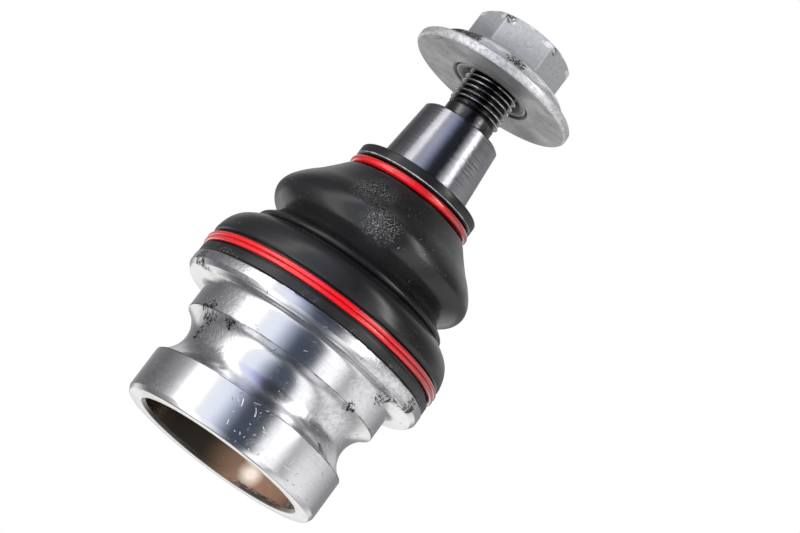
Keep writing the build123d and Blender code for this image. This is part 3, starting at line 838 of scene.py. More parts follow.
def stud_finish():
    """Ground taper with chatter, and a dark oiled thread with rubbed crests."""
    tint, sizes = finish_colours(), bpy.context.scene.stud_sizes
    top, start, crest_r = sizes.taper_z / MM, sizes.thread_z / MM, sizes.thread_r / MM
    skin = Finish("stud_steel")
    chatter = skin.marks(0.26, 9.0, 0.7)
    fine = skin.marks(0.06, 3.0, 0.7)
    nicks = skin.scratches(0.45, 0.8, 0.09, 0.3)
    clouds = skin.noise(110, 0.35, 0.7)
    oily = skin.noise(420, 0.4, 0.6, 3.0)
    thread = skin.rise(skin.height, top - 0.3, top + 0.2)
    crest = skin.times(skin.rise(skin.radius, crest_r - 0.23, crest_r - 0.05), thread)
    roots = skin.times(skin.rise(skin.radius, crest_r - 0.2, crest_r - 0.5),
                       skin.rise(skin.height, start + 0.1, start + 0.5))
    ground = skin.mix(skin.times(clouds, 0.4), tint["steel"], toned(tint["steel"], 0.65))
    ground = skin.mix(skin.times(nicks, 0.7), ground, toned(tint["steel"], 0.2))
    grimy = skin.mix(skin.most(roots, skin.times(oily, 0.6)), tint["oxide"], tint["grime"])
    rubbed = skin.mix(skin.times(crest, skin.level(oily, 0.3, 0.9)), grimy, (0.62, 0.62, 0.62))
    oiled = skin.times(thread, oily)
    rough = skin.level(skin.most(skin.times(chatter, 0.3), oiled), 0.05, 0.20)
    under = skin.bump(skin.most(chatter, oiled), 0.10, 0.36)
    return skin.put(Base_Color=skin.mix(thread, ground, rubbed), Metallic=1.0, Roughness=rough,
                    Normal=skin.bump(skin.most(fine, nicks), 0.012, 0.3, under))


def flake_skin(name, tone):
    """Zinc flake coat with grit and nicks: the finish, its colour, dark mask, roughness and normal."""
    skin = Finish(name)
    clouds = skin.noise(150, 0.3, 0.7, 5.0, 0.7)
    grain = skin.noise(1500, 0.3, 0.7, 2.0)
    grit = skin.most(skin.pits(2.4, skin.level(clouds, 0.33, 0.42), 1.0),
                     skin.times(skin.specks(900, 0.22), clouds))
    nicks = skin.scratches(0.5, 0.7, 0.07, 0.22)
    dark = skin.most(skin.times(grit, 0.85), skin.times(nicks, 0.8))
    coat = toned(finish_colours()["flake"], tone)
    base = skin.mix(skin.times(clouds, 0.5), coat, toned(coat, 1.3))
    base = skin.mix(skin.times(grain, 0.3), base, toned(coat, 0.65))
    rough = skin.level(clouds, 0.40, 0.55)
    normal = skin.bump(skin.most(skin.times(clouds, 0.5), grain), 0.02, 0.2)
    return skin, base, dark, rough, skin.bump(dark, -0.05, 0.4, normal)


def nut_finish():
    """Zinc flake coat of the nut, rubbed light on its rims and knocked black on the flange's edge, with
    painted shade in the hollow round its spigot and where it sits on the washer.
    """
    tint = finish_colours()
    spigot = bpy.context.scene.nut_sizes.spigot_r / MM
    skin, base, dark, rough, normal = flake_skin("nut_flake", 0.756)
    light = skin.mix(skin.times(skin.edges(NUT_RIMS), 0.6), base, (0.72, 0.72, 0.73))
    knocked = skin.most(skin.patches(NUT_KNOCKED), skin.times(skin.patches(NUT_GRAZED), 0.78))
    knocks = skin.pits(1.3, skin.level(knocked, 0.22, 0.60), 1.8)
    # Painted shade on the flange's lower edge, where the nut sits on the washer
    painted_seam_shade = skin.times(skin.band(skin.height, *PAINTED_SHADE_SEAM_Z, 0.1), skin.rise(skin.radius, *PAINTED_SHADE_SEAM_R))
    # Painted shade, nearly black, in the hollow round the spigot
    painted_hollow_shade = skin.times(skin.rise(skin.radius, *PAINTED_SHADE_HOLLOW_R), skin.rise(skin.height, *PAINTED_SHADE_HOLLOW_Z))
    # A lighter ring at the spigot's edge, left in that painted shade as a painted highlight
    painted_ring_highlight = skin.band(skin.radius, spigot - 0.25, spigot, 0.12)
    # Grit and knocks, with the painted shade and highlight of the hollow and the seam
    shade = skin.most(skin.times(dark, 0.8), knocks, skin.times(painted_hollow_shade, skin.level(painted_ring_highlight, 0.95, 0.5)),
                      skin.times(painted_seam_shade, 0.6))
    return skin.put(Base_Color=skin.mix(shade, light, tint["grime"]), Metallic=0.4, Roughness=rough,
                    Normal=normal)


def washer_finish():
    """Zinc flake coat of the washer, light on its rim and duller on its underside, with painted shade in its
    bore and along its top outer edge.
    """
    tint = finish_colours()
    low, high, wide = WASHER_LOW[2] / MM, WASHER_HIGH[2] / MM, WASHER_HIGH[0] / MM
    bore = bpy.context.scene.nut_sizes.washer_bore / MM
    skin, base, dark, rough, normal = flake_skin("washer_flake", 0.798)
    below = skin.times(skin.rise(skin.radius, wide - 0.25, wide - 0.6),
                       skin.rise(skin.height, low + 0.3, low + 0.1))
    blotch = skin.times(skin.noise(170, 0.42, 0.66, 4.0), 0.5)
    dull = skin.mix(blotch, toned(tint["flake"], 0.50), toned(tint["flake"], 0.80))
    dull = skin.mix(skin.times(skin.scratches(0.13, 3.6, 0.09, 0.55), 0.8), dull, tint["grime"])
    rim = skin.times(skin.rise(skin.radius, wide - 0.8, wide - 0.1), skin.level(below, 1.0, 0.0),
                     skin.noise(1400, 0.3, 0.6, 4.0, 0.7))
    light = skin.mix(rim, skin.mix(below, base, dull), (0.62, 0.62, 0.63))
    # Painted shade in the washer's bore
    painted_bore_shade = skin.times(skin.rise(skin.radius, bore + 0.65, bore + 0.5), 0.85)
    # Painted shade: a dark line along the washer's top outer edge, under the nut
    painted_edge_shade = skin.times(skin.edges(((wide - 0.35, high - 0.1, 0.2),)), 0.75)
    # Grit and nicks, with the painted shade of the bore and the top edge
    dirt = skin.most(skin.times(dark, 0.7), painted_bore_shade, painted_edge_shade)
    return skin.put(Base_Color=skin.mix(dirt, light, tint["grime"]), Metallic=0.75, Roughness=rough,
                    Normal=normal)


def rubber_finish():
    """Satin moulded rubber with fine grain, dust and a painted highlight along the lip's lower edge."""
    tint, housing = finish_colours(), bpy.context.scene.housing_sizes
    flange_top = (housing.flange_z + housing.flange_t) / MM
    skin = Finish("boot_rubber")
    clouds = skin.noise(90, 0.35, 0.7)
    grain = skin.noise(1100, 0.3, 0.7, 3.0, 0.7)
    skirt = skin.band(skin.height, flange_top + 0.3, flange_top + 1.2, 0.5)
    dusty = skin.most(skin.patches(DUSTY), skin.times(skirt, skin.noise(120, 0.5, 0.68), 0.6))
    dust = skin.times(skin.most(skin.scratches(1.9, 0.26, 0.07, 0.75), skin.pits(3.4, 0.44, 1.0)), dusty)
    bright = skin.times(skin.specks(1100, 0.40), skin.patches(DUSTIEST))
    stray = skin.times(skin.scratches(0.8, 0.2, 0.08, 0.35), skin.noise(60, 0.5, 0.6))
    # Painted highlight: a pale line in the dust colour along the lip's lower edge
    lip = skin.times(skin.edges(PAINTED_HIGHLIGHT_LIP), 0.5)
    # Dust, and the painted highlight of the lip
    pale = skin.most(skin.times(dust, 0.4), bright, skin.times(stray, 0.5), lip)
    grey = skin.mix(skin.times(clouds, 0.5), tint["rubber"], toned(tint["rubber"], 1.9))
    rough = skin.level(skin.most(clouds, dust), 0.24, 0.34)
    normal = skin.bump(skin.most(skin.times(grain, 0.5), dust), 0.015, 0.4)
    return skin.put(Base_Color=skin.mix(pale, grey, tint["dust"]), Roughness=rough, Normal=normal,
                    Specular_IOR_Level=0.4)


def wire_finish():
    """Red coat on spring wire, thin and rubbed in places."""
    tint = finish_colours()
    skin = Finish("ring_red")
    clouds = skin.noise(220, 0.35, 0.7)
    shade = skin.mix(skin.times(clouds, 0.5), tint["wire"], toned(tint["wire"], 0.62))
    colour_out = skin.mix(skin.times(skin.specks(900, 0.08), 0.6), shade, (0.12, 0.01, 0.01))
    rough = skin.level(clouds, 0.2, 0.34)
    normal = skin.bump(skin.noise(700, 0.3, 0.7), 0.02, 0.2)
    return skin.put(Base_Color=colour_out, Roughness=rough, Normal=normal, Coat_Weight=0.9,
                    Coat_Roughness=0.04)


def race_finish():
    """Off-white bearing polymer with moulding clouds."""
    tint = finish_colours()
    skin = Finish("race_polymer")
    clouds = skin.noise(120, 0.3, 0.7)
    colour_out = skin.mix(skin.times(clouds, 0.5), tint["race"], toned(tint["race"], 0.85))
    normal = skin.bump(skin.marks(0.25, 1.0), 0.02, 0.15)
    return skin.put(Base_Color=colour_out, Roughness=skin.level(clouds, 0.4, 0.55), Normal=normal)


def spring_finish():
    """Tempered spring steel with rolling marks."""
    skin = Finish("spring_steel")
    clouds = skin.noise(160, 0.3, 0.7)
    colour_out = skin.mix(clouds, (0.20, 0.21, 0.24), (0.32, 0.33, 0.35))
    rough = skin.level(clouds, 0.28, 0.42)
    normal = skin.bump(skin.marks(0.2, 1.5), 0.02, 0.25)
    return skin.put(Base_Color=colour_out, Metallic=1.0, Roughness=rough, Normal=normal)


def cover_finish():
    """Plain turned cover with an oily bronze stain."""
    tint = finish_colours()
    skin = Finish("cover_steel")
    clouds = skin.noise(110, 0.35, 0.7)
    rings = skin.marks(0.3, 0.6, 0.5)
    colour_out = skin.mix(clouds, toned(tint["mouth"], 1.6), (0.30, 0.27, 0.24))
    rough = skin.level(skin.most(clouds, rings), 0.26, 0.4)
    return skin.put(Base_Color=colour_out, Metallic=1.0, Roughness=rough, Normal=skin.bump(rings, 0.03, 0.4))


def clip_finish():
    """Blackened spring steel with bare rubbed spots."""
    tint = finish_colours()
    skin = Finish("clip_black")
    rubs = skin.most(skin.noise(300, 0.6, 0.7), skin.scratches(0.7, 0.5, 0.07, 0.4))
    colour_out = skin.mix(rubs, tint["clip"], (0.35, 0.35, 0.36))
    rough = skin.level(skin.noise(200), 0.34, 0.48)
    return skin.put(Base_Color=colour_out, Metallic=0.9, Roughness=rough,
                    Normal=skin.bump(skin.noise(900), 0.02, 0.25))


# Pieces


def groove_outline(sizes):
    """Outline of the pinch bolt groove from its lower rounded edge to its upper one."""
    centre = (sizes.barrel_r - sizes.groove_depth + sizes.groove_r, sizes.groove_z)
    edge = sizes.groove_edge
    rise = math.sqrt((sizes.groove_r + edge) ** 2 - (centre[0] - sizes.barrel_r + edge) ** 2)
    tilt = math.degrees(math.asin(rise / (sizes.groove_r + edge)))
    edge_r = sizes.barrel_r - edge
    low = arc((edge_r, centre[1] - rise), (edge, edge), 0, tilt, ROUND_STEPS)
    round_part = arc(centre, (sizes.groove_r, sizes.groove_r), 180 + tilt, 180 - tilt, GROOVE_STEPS)
    high = arc((edge_r, centre[1] + rise), (edge, edge), -tilt, 0, ROUND_STEPS)
    return low + round_part[1:-1] + high


class MESH_OT_ball_joint_housing(bpy.types.Operator):
    """Turned housing with rounded edges, pinch bolt groove, flange and stepped bore"""

    bl_idname = "mesh.ball_joint_housing"
    bl_label = "Housing"

    def execute(self, context):
        """Turns the housing and puts it in place of its solid."""
        sizes = context.scene.housing_sizes
        barrel, flange, mouth, bite = sizes.barrel_r, sizes.flange_r, sizes.mouth_r, sizes.clip_bite
        end_part = [
            (mouth, bite, 0.15 * MM),
            (mouth + bite, 0, 0.2 * MM),
            (sizes.end_r, 0, 0.45 * MM),
            (barrel, sizes.end_z, 0.8 * MM),
        ]
        top = sizes.flange_z + sizes.flange_t
        flange_part = [
            (barrel, sizes.flange_z, sizes.root_r),
            (flange - sizes.rim_chamfer, sizes.flange_z, 0.3 * MM),
            (flange, sizes.flange_z + sizes.rim_chamfer_z, 0.5 * MM),
            (flange, top, 0.35 * MM),
        ]
        collar = [
            (sizes.collar_r, top),
            (sizes.collar_r, sizes.bead_low),
            (sizes.bead_r, sizes.bead_low),
            (sizes.bead_r, sizes.bead_high),
            (sizes.collar_r, sizes.bead_high),
            (sizes.collar_r, sizes.collar_top - sizes.collar_chamfer),
            (sizes.collar_r - sizes.collar_chamfer, sizes.collar_top),
        ]
        bores = [
            (sizes.opening_top_r, sizes.collar_top),
            (sizes.opening_low_r, sizes.race_top),
            (sizes.race_r, sizes.race_top),
            (sizes.race_r, sizes.cover_top),
            (sizes.cover_r, sizes.cover_top),
            (sizes.cover_r, sizes.clip_top),
            (mouth + bite, sizes.clip_top),
            (mouth + bite, sizes.mouth_depth),
            (mouth, sizes.mouth_depth),
        ]
        corners = end_part + groove_outline(sizes) + flange_part + collar + bores
        piece = turn("housing_turned", rounded(corners))
        replace_slots(piece, housing_finish())
        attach(piece, "housing")
        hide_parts("housing")
        return {"FINISHED"}


def lower_boot_outline(sizes):
    """Closed outline of the boot's lower lobe, with its bead, lip, wire seat, fold line and shoulder."""
    base = rounded(in_metres([
        (23.52, 34.78), (23.52, 31.32), (24.52, 31.32), (24.52, 30.22), (27.35, 30.22, 0.3),
        (27.35, 32.15, 0.25), (26.56, 32.2), (26.56, 35.35, 0.1),
    ]))
    lobe = smooth_through(in_metres([
        (27.0, 35.45), (27.3, 36.0), (27.15, 37.2), (26.6, 39.0), (25.5, 40.7), (23.9, 41.95), (22.45, 42.7),
    ]), LOBE_STEPS + 1)
    fold = in_metres([(21.6, 42.8), (21.5, 42.95)])
    shoulder = smooth_through(in_metres([
        (21.9, 43.1), (22.2, 43.6), (21.95, 44.2), (21.25, 44.8), (20.4, 45.35), (19.7, 46.0),
    ]) + [(sizes.crease_r, sizes.crease_z)], LOBE_STEPS)
    outside = [Vector(point) for point in lobe + fold + shoulder]
    inside = one_wall_inside([point for point in outside if point.y > sizes.inside_z], sizes.wall)
    inside[-1] = Vector((sizes.crease_r - sizes.wall, sizes.crease_z))
    return base + outside + inside[::-1]


def upper_boot_outline(sizes):
    """Closed outline of the boot's upper lobe and of its neck."""
    outside = smooth_through([(sizes.crease_r, sizes.crease_z)] + in_metres([
        (20.4, 47.5), (21.75, 48.65), (22.5, 49.85), (22.8, 51.1), (22.6, 52.4), (21.9, 53.9), (20.3, 55.95),
        (18.2, 58.1), (16.2, 60.4), (14.75, 62.2), (14.35, 62.6),
    ]), LOBE_STEPS)
    neck = rounded(in_metres([
        (12.48, 62.9, 0.15), (12.48, 65.4, 0.1), (13.6, 65.4, 0.2), (13.85, 65.7, 0.15), (13.85, 67.8, 0.4),
        (10.1, 67.8), (10.58, 62.0),
    ]))
    inside = one_wall_inside(outside, sizes.wall)
    inside[0] = Vector((sizes.crease_r - sizes.wall, sizes.crease_z))
    return outside + neck + inside[::-1]


class MESH_OT_ball_joint_boot(bpy.types.Operator):
    """Rubber boot: a lower and an upper lobe that meet in the crease"""

    bl_idname = "mesh.ball_joint_boot"
    bl_label = "Dust boot"

    def execute(self, context):
        """Turns the two lobes, gives them the rubber finish and bakes their places."""
        sizes = context.scene.boot_sizes
        finish = rubber_finish()
        lower = turn("boot_lower_lobe", lower_boot_outline(sizes))
        upper = turn("boot_upper_lobe", upper_boot_outline(sizes))
        for piece in (lower, upper):
            replace_slots(piece, finish)
            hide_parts("dust_boot")
        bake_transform(lower)
        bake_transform(upper)
        return {"FINISHED"}


class MESH_OT_ball_joint_wires(bpy.types.Operator):
    """Two red spring wires: a double turn round the boot's base and a single one round its neck"""

    bl_idname = "mesh.ball_joint_wires"
    bl_label = "Wire rings"

    def execute(self, context):
        """Lays both wires from an extruded circle."""
        sizes = context.scene.boot_sizes
        finish = wire_finish()
        turn_steps = 360 // WIRE_STEP_DEG
        climb = [sizes.base_wire_d / turn_steps] * turn_steps * BASE_WIRE_TURNS
        level = [0] * ((360 - NECK_GAP_DEG) // WIRE_STEP_DEG)
        base = lay_wire("base_wire", sizes.base_wire_r, sizes.base_wire_z, sizes.base_wire_d / 2, climb)
        neck = lay_wire("neck_wire", sizes.neck_wire_r, sizes.neck_wire_z, sizes.neck_wire_d / 2, level)
        for piece, body, node in ((base, "housing", "boot_base_ring"), (neck, "boot_top", "boot_neck_ring")):
            replace_slots(piece, finish)
            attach(piece, body)
            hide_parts(node)
        return {"FINISHED"}


def thread_outline(sizes, grow, z):
    """One pitch of the thread's profile from a height up, moved outwards by a clearance."""
    crest, root = sizes.thread_r + grow, sizes.thread_r - sizes.thread_depth + grow
    flank = sizes.thread_depth * math.tan(math.radians(THREAD_FLANK_DEG))
    land = sizes.pitch / 8
    start = (sizes.pitch - land - 2 * flank) / 2
    low, high = start + flank, start + flank + land
    soft = land / 4
    marks = [(root, 0), (root, start), (crest - soft, low - soft / 2), (crest, low + soft),
             (crest, high - soft), (crest - soft, high + soft / 2), (root, sizes.pitch - start),
             (root, sizes.pitch)]
    return [(radius, z + height) for radius, height in marks]


def threaded_bar(name, sizes, grow, low_z, high_z):
    """Closed threaded bar between two heights, made by a screw modifier and two cuts."""
    start_z = sizes.thread_z + math.floor((low_z - sizes.thread_z) / sizes.pitch - 1.5) * sizes.pitch
    bar = draw_outline(name, thread_outline(sizes, grow, start_z), closed=False)
    bpy.ops.object.mode_set(mode="OBJECT")
    winding = bar.modifiers.new("Winding", "SCREW")
    winding.angle = math.tau
    winding.screw_offset = sizes.pitch
    winding.iterations = math.ceil((high_z - start_z) / sizes.pitch) + 1
    winding.steps = THREAD_STEPS
    winding.render_steps = THREAD_STEPS
    winding.use_merge_vertices = True
    winding.merge_threshold = WELD
    bpy.ops.object.modifier_apply(modifier=winding.name)
    bpy.ops.object.mode_set(mode="EDIT")
    for height, side in ((low_z, 1), (high_z, -1)):
        bpy.ops.mesh.select_all(action="SELECT")
        bpy.ops.mesh.bisect(plane_co=(0, 0, height), plane_no=(0, 0, side), clear_inner=True)
    bpy.ops.mesh.select_all(action="SELECT")
    bpy.ops.mesh.remove_doubles(threshold=WELD)
    bpy.ops.mesh.fill_holes(sides=0)
    return must_be_closed(finish_mesh(bar))


def stud_outline(sizes):
    """Closed outline of ball, waist, flare, taper and relief, up to where the thread starts."""
    ball_z = BALL_CENTRE.z
    flat = math.degrees(math.asin(sizes.ball_flat / sizes.ball_r))
    neck = math.degrees(math.acos(sizes.neck_r / sizes.ball_r))
    ball = arc((0, ball_z), (sizes.ball_r, sizes.ball_r), -flat, neck, BALL_STEPS)
    flare_z = ball_z + sizes.neck_h
    shank_z = sizes.taper_z - sizes.taper_len
    shank_r = sizes.taper_r + sizes.taper_len * TAPER_RATE
    flare = smooth_through([
        (sizes.neck_r, flare_z), (sizes.neck_r + 0.9 * MM, flare_z + 5.5 * MM),
        (shank_r - 0.55 * MM, shank_z - 5.5 * MM), (shank_r, shank_z),
    ], LOBE_STEPS + 1)
    top, edge = sizes.taper_z, sizes.taper_edge
    upper = rounded([
        (sizes.taper_r + edge * TAPER_RATE, top - edge), (sizes.taper_r - edge, top, 0.25 * MM),
        (sizes.relief_r, top, 0.5 * MM), (sizes.relief_r, sizes.thread_z - 0.5 * MM, 0.2 * MM),
        (sizes.thread_r - sizes.thread_depth - 0.1 * MM, sizes.thread_z + 0.5 * MM),
        (0, sizes.thread_z + 0.5 * MM),
    ])
    return [Vector((0, ball[0].y))] + ball + flare + upper


class MESH_OT_ball_joint_stud(bpy.types.Operator):
    """Stud with its ball, waist and taper, and a real thread wound up its end"""

    bl_idname = "mesh.ball_joint_stud"
    bl_label = "Ball stud"

    def execute(self, context):
        """Turns the stud, winds its thread and joins the two."""
        sizes = context.scene.stud_sizes
        low, high = sizes.thread_z - 0.4 * MM, STUD_TOP
        root = sizes.thread_r - sizes.thread_depth
        lead = turn("thread_lead", rounded([
            (0, low), (root - 0.05 * MM, low), (sizes.thread_r + 0.02 * MM, low + 1.0 * MM),
            (sizes.thread_r + 0.02 * MM, high - 1.0 * MM), (sizes.thread_r - 1.1 * MM, high, 0.2 * MM),
            (0, high),
        ]), THREAD_STEPS)
        thread = threaded_bar("stud_thread", sizes, 0, low - 0.3 * MM, high + 0.3 * MM)
        thread = combine(thread, lead, "INTERSECT")
        piece = turn("stud_turned", stud_outline(sizes))
        piece = combine(piece, thread, "UNION")
        replace_slots(piece, stud_finish())
        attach(piece, "stud")
        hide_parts("ball_stud")
        return {"FINISHED"}


def hexagon(sizes, low_z, high_z):
    """Hexagonal prism with rounded corners, its chamfer cut by a turned envelope."""
    deselect()
    corner_r = sizes.across / 2 / math.cos(math.pi / 6)
    bpy.ops.mesh.primitive_cylinder_add(vertices=6, radius=corner_r, depth=high_z - low_z,
                                        location=(0, 0, (low_z + high_z) / 2))
    prism = bpy.context.object
    prism.name = "nut_turned"
    prism.data.name = "nut_turned"
    bpy.ops.object.transform_apply(location=True)
    bpy.ops.object.mode_set(mode="EDIT")
    bpy.ops.mesh.select_all(action="SELECT")
    swing(math.radians(30) + sizes.turned)
    bpy.ops.object.mode_set(mode="OBJECT")
    for edge in prism.data.edges:
        ends = [prism.data.vertices[index].co for index in edge.vertices]
        edge.select = abs(ends[0].z - ends[1].z) > MM
    bpy.ops.object.mode_set(mode="EDIT")
    bpy.ops.mesh.select_mode(type="EDGE")
    bpy.ops.mesh.bevel(offset=sizes.corner_r, segments=3, affect="EDGES")
    bpy.ops.mesh.select_mode(type="VERT")
    bpy.ops.object.mode_set(mode="OBJECT")
    flat_r, wide_r = sizes.across / 2, corner_r + 2 * MM
    fall = (wide_r - flat_r) * math.tan(math.radians(CHAMFER_DEG))
    envelope = turn("nut_envelope", rounded([
        (0, low_z - MM), (wide_r, low_z - MM), (wide_r, high_z - fall),
        (flat_r - 0.3 * MM, high_z, 0.5 * MM), (0, high_z),
    ]))
    return combine(finish_mesh(prism), envelope, "INTERSECT")


class MESH_OT_ball_joint_nut(bpy.types.Operator):
    """Flange nut with a chamfered hexagon, coned flange, rolled spigot and threaded bore"""

    bl_idname = "mesh.ball_joint_nut"
    bl_label = "Flange nut"

    def execute(self, context):
        """Builds hexagon and flange, joins them and threads the bore."""
        sizes, stud = context.scene.nut_sizes, context.scene.stud_sizes
        low, high = NUT_LOW[2], NUT_HIGH[2]
        flange, spigot, flat = sizes.flange_r, sizes.spigot_r, sizes.across / 2
        seat = WASHER_HIGH[2] + 0.06 * MM
        top = seat + sizes.flange_t
        bore = stud.thread_r + 0.02 * MM
        skirt = turn("nut_skirt", rounded([
            (0, low), (spigot + 0.3 * MM, low, 0.15 * MM), (spigot, low + 0.45 * MM), (spigot, seat),
            (flange - 0.3 * MM, seat, 0.2 * MM), (flange, seat + 0.5 * MM, 0.4 * MM),
            (flange, top - 0.6 * MM, 0.5 * MM), (flange - 0.7 * MM, top, 0.6 * MM),
            (flat + 0.2 * MM, top + sizes.cone_h, 0.5 * MM), (flat - 1.5 * MM, top + sizes.cone_h + 0.1 * MM),
            (0, top + sizes.cone_h + 0.1 * MM),
        ]))
        piece = combine(hexagon(sizes, top - 0.5 * MM, high), skirt, "UNION")
        sinks = turn("nut_sinks", rounded([
            (0, low - MM), (bore + 1.6 * MM, low - MM), (bore + 1.25 * MM, low),
            (bore - 0.3 * MM, low + 1.5 * MM), (bore - 0.6 * MM, low + 1.8 * MM),
            (bore - 0.6 * MM, high - 1.8 * MM), (bore - 0.3 * MM, high - 1.5 * MM),
            (bore + 1.25 * MM, high), (bore + 1.6 * MM, high + MM), (0, high + MM),
        ]))
        piece = combine(piece, sinks, "DIFFERENCE")
        tap = threaded_bar("nut_tap", stud, 0.05 * MM, low - 0.4 * MM, high + 0.4 * MM)
        piece = combine(piece, tap, "DIFFERENCE")
        replace_slots(piece, nut_finish())
        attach(piece, "nut")
        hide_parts("flange_nut")
        return {"FINISHED"}


class MESH_OT_ball_joint_washer(bpy.types.Operator):
    """Captive washer with a rounded rim and a sunk bore"""

    bl_idname = "mesh.ball_joint_washer"
    bl_label = "Nut washer"

    def execute(self, context):
        """Turns the washer and puts it in place of its solid."""
        sizes = context.scene.nut_sizes
        low, high = WASHER_LOW[2], WASHER_HIGH[2]
        rim, bore, edge, lead = sizes.washer_r, sizes.washer_bore, sizes.washer_edge, sizes.washer_lead
        rim_top = low + sizes.washer_t
        piece = turn("washer_turned", rounded([
            (bore, low + lead, 0.1 * MM), (bore + lead, low, 0.2 * MM), (rim - edge, low, 0.3 * MM),
            (rim, low + edge, 0.4 * MM), (rim, rim_top - edge, 0.4 * MM), (rim - edge, rim_top, 0.3 * MM),
            (sizes.flange_r + edge, high), (bore, high),
        ]))
        replace_slots(piece, washer_finish())
        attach(piece, "washer")
        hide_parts("nut_washer")
        return {"FINISHED"}


class MESH_OT_ball_joint_insides(bpy.types.Operator):
    """Finishes of races, spring, cover, seal and clip, whose solids stay as they are"""

    bl_idname = "mesh.ball_joint_insides"
    bl_label = "Inner pieces"

    def execute(self, context):
        """Gives each inner solid its own finish."""
        race = race_finish()
        finishes = {
            "upper_race": race,
            "lower_race": race,
            "preload_spring": spring_finish(),
            "end_cover": cover_finish(),
            "cover_seal": rubber_finish(),
            "retaining_ring": clip_finish(),
        }
        for node, finish in finishes.items():
            replace_slots(bpy.data.objects[node], finish)
        return {"FINISHED"}


# Studio


def light_path(tree, *kinds):
    """One where a ray is of any of the given kinds."""
    path = add(tree, "ShaderNodeLightPath")
    result = path.outputs[kinds[0]]
    for kind in kinds[1:]:
        result = maths(tree, "MAXIMUM", result, path.outputs[kind])
    return result


def studio_wall(tree, share, stops):
    """Ring of pale and dark walls round the object, its stops given as degrees and shades."""
    wall = add(tree, "ShaderNodeValToRGB", {0: share})
    ramp = wall.color_ramp
    ramp.elements[0].position = 0.0
    ramp.elements[1].position = 1.0
    for element in ramp.elements:
        element.color = opaque(stops[0][1])
    for degrees, shade in stops[1:-1]:
        ramp.elements.new(degrees / 360 + 0.5).color = opaque(shade)
    return wall.outputs[0]


def make_world():
    """White behind the object, a plain level for soft light, and pale and dark walls for gloss."""
    world = bpy.data.worlds.new("studio")
    world.use_nodes = True
    bpy.context.scene.world = world
    tree = world.node_tree
    tree.nodes.clear()
    split = add(tree, "ShaderNodeSeparateXYZ", {0: add(tree, "ShaderNodeTexCoord").outputs["Generated"]})
    east, north, up = split.outputs
    azimuth = maths(tree, "ARCTAN2", east, maths(tree, "MULTIPLY", north, -1.0))
    turn_share = maths(tree, "ADD", maths(tree, "DIVIDE", azimuth, math.tau), 0.5)
    walls = blend_colours(tree, fade(tree, up, *SLOPES_UP), studio_wall(tree, turn_share, STUDIO_WALLS),
                          studio_wall(tree, turn_share, STUDIO_SLOPES))
    ceiling = blend_colours(tree, fade(tree, up, *CEILING_UP), walls, CEILING)
    ground = blend_colours(tree, fade(tree, up, *GROUND_UP), ceiling, GROUND)
    behind = maths(tree, "MULTIPLY", fade(tree, north, *BACKDROP_NORTH), fade(tree, up, *BACKDROP_UP))
    around = blend_colours(tree, behind, ground, BACKDROP)
    plain = add(tree, "ShaderNodeBackground", {"Color": opaque(PLAIN), "Strength": 1.0})
    gloss = add(tree, "ShaderNodeBackground", {"Color": around, "Strength": 1.0})
    white = add(tree, "ShaderNodeBackground", {"Color": (1, 1, 1, 1), "Strength": 1.0})
    backdrop = add(tree, "ShaderNodeMixShader", {
        0: light_path(tree, "Is Camera Ray"), 1: gloss.outputs[0], 2: white.outputs[0]})
    seen = light_path(tree, "Is Camera Ray", "Is Glossy Ray", "Is Transmission Ray")
    result = add(tree, "ShaderNodeMixShader", {0: seen, 1: plain.outputs[0], 2: backdrop.outputs[0]})
    add(tree, "ShaderNodeOutputWorld", {0: result.outputs[0]})


def make_floor():
    """Pale round floor that keeps the shadow, fades out at its rim and is clear from below."""
    deselect()
    bpy.ops.mesh.primitive_circle_add(vertices=FLOOR_SIDES, radius=FLOOR_R, fill_type="NGON",
                                      location=(0, 0, 0))
    floor = bpy.context.object
    floor.name = "studio_floor"
    material = bpy.data.materials.new("studio_floor")
    material.use_nodes = True
    tree = material.node_tree
    tree.nodes.clear()
    place = add(tree, "ShaderNodeTexCoord").outputs["Object"]
    reach = add(tree, "ShaderNodeVectorMath", {0: place}, operation="LENGTH").outputs["Value"]
    start, end = (FLOOR_R * share for share in FLOOR_RIM)
    rim = fade(tree, reach, start, end)
    clouds = add(tree, "ShaderNodeTexNoise", {"Vector": place, "Scale": 14.0, "Detail": 3.0})
    paper = tuple(bpy.context.scene.finish_colours.paper)
    shade = blend_colours(tree, clouds.outputs[0], paper, toned(paper, FLOOR_CLOUDS))
    paint = add(tree, "ShaderNodeBsdfDiffuse", {"Color": shade})
    clear = add(tree, "ShaderNodeBsdfTransparent")
    below = add(tree, "ShaderNodeNewGeometry").outputs["Backfacing"]
    passed = light_path(tree, "Is Shadow Ray", "Is Glossy Ray", "Is Transmission Ray")
    through = maths(tree, "MAXIMUM", maths(tree, "MAXIMUM", below, passed), rim)
    mixed = add(tree, "ShaderNodeMixShader", {0: through, 1: paint.outputs[0], 2: clear.outputs[0]})
    add(tree, "ShaderNodeOutputMaterial", {0: mixed.outputs[0]})
    replace_slots(floor, material)


def add_softbox(name, azimuth_deg, elevation_deg, distance, width, height, watts):
    """Large soft lamp aimed at the object; azimuth 0 stands on the side of -Y, positive towards +X."""
    around, up = math.radians(azimuth_deg), math.radians(elevation_deg)
    aim = Vector((math.sin(around) * math.cos(up), -math.cos(around) * math.cos(up), math.sin(up)))
    place = AIM_AT + aim * distance
    bpy.ops.object.light_add(type="AREA", location=place)
    lamp = bpy.context.object
    lamp.name = name
    lamp.data.shape = "RECTANGLE"
    lamp.data.size = width
    lamp.data.size_y = height
    lamp.data.energy = watts
    lamp.rotation_euler = aim.to_track_quat("Z", "Y").to_euler()
    lamp.visible_glossy = False


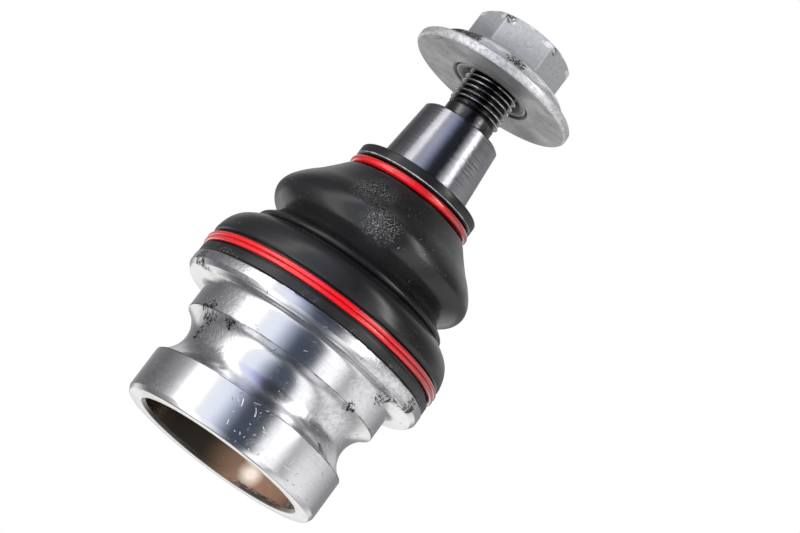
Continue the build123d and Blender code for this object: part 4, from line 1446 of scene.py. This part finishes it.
def make_camera():
    """Camera at the photograph's place: below the object, turned about its own axis."""
    below, roll = math.radians(CAMERA_BELOW_DEG), math.radians(CAMERA_ROLL_DEG)
    level = Vector((1, 0, 0))
    forward = Vector((0, math.cos(below), math.sin(below)))
    upright = level.cross(forward)
    right = level * math.cos(roll) + upright * math.sin(roll)
    up = upright * math.cos(roll) - level * math.sin(roll)
    off = right * CAMERA_OFF[0] + up * CAMERA_OFF[1] + forward * CAMERA_OFF[2]
    place = Vector((0, 0, CAMERA_SEES_Z)) - off
    turned = Matrix((right, up, -forward)).transposed()
    bpy.ops.object.camera_add(location=place, rotation=turned.to_euler())
    camera = bpy.context.object
    camera.name = "photo_camera"
    camera.data.lens = CAMERA_LENS
    camera.data.sensor_width = CAMERA_SENSOR
    camera.data.clip_start = 0.01
    camera.data.dof.use_dof = False
    bpy.context.scene.camera = camera


class SCENE_OT_ball_joint_stage(bpy.types.Operator):
    """Pale floor, soft lamps, studio world and the camera"""

    bl_idname = "scene.ball_joint_stage"
    bl_label = "Studio"

    def execute(self, context):
        """Makes the stage round the object."""
        deselect()
        make_world()
        make_floor()
        for lamp in SOFTBOXES:
            add_softbox(*lamp)
        make_camera()
        context.scene.view_settings.view_transform = "Standard"
        return {"FINISHED"}


class VIEW3D_PT_ball_joint(bpy.types.Panel):
    """Sidebar panel with a button for each piece and for the stage"""

    bl_idname = "VIEW3D_PT_ball_joint"
    bl_label = "Suspension Ball Joint"
    bl_space_type = "VIEW_3D"
    bl_region_type = "UI"
    bl_category = "Ball Joint"

    def draw(self, context):
        """Lists the operators."""
        for operator in OPERATORS:
            self.layout.operator(operator.bl_idname)


SETTINGS = {"housing_sizes": HousingSizes, "boot_sizes": BootSizes, "stud_sizes": StudSizes,
            "nut_sizes": NutSizes, "finish_colours": FinishColours}
OPERATORS = (MESH_OT_ball_joint_housing, MESH_OT_ball_joint_boot, MESH_OT_ball_joint_wires,
             MESH_OT_ball_joint_stud, MESH_OT_ball_joint_nut, MESH_OT_ball_joint_washer,
             MESH_OT_ball_joint_insides, SCENE_OT_ball_joint_stage)


def register():
    """Registers the settings, the operators and the panel."""
    for name, group in SETTINGS.items():
        bpy.utils.register_class(group)
        setattr(bpy.types.Scene, name, PointerProperty(type=group))
    for item in OPERATORS + (VIEW3D_PT_ball_joint,):
        bpy.utils.register_class(item)


def unregister():
    """Takes everything back that register added."""
    for item in (VIEW3D_PT_ball_joint,) + OPERATORS[::-1]:
        bpy.utils.unregister_class(item)
    for name, group in SETTINGS.items():
        delattr(bpy.types.Scene, name)
        bpy.utils.unregister_class(group)


def main():
    """Builds everything in order."""
    register()
    bpy.ops.mesh.ball_joint_housing()
    bpy.ops.mesh.ball_joint_boot()
    bpy.ops.mesh.ball_joint_wires()
    bpy.ops.mesh.ball_joint_stud()
    bpy.ops.mesh.ball_joint_nut()
    bpy.ops.mesh.ball_joint_washer()
    bpy.ops.mesh.ball_joint_insides()
    bpy.ops.scene.ball_joint_stage()


if __name__ == "__main__":
    main()
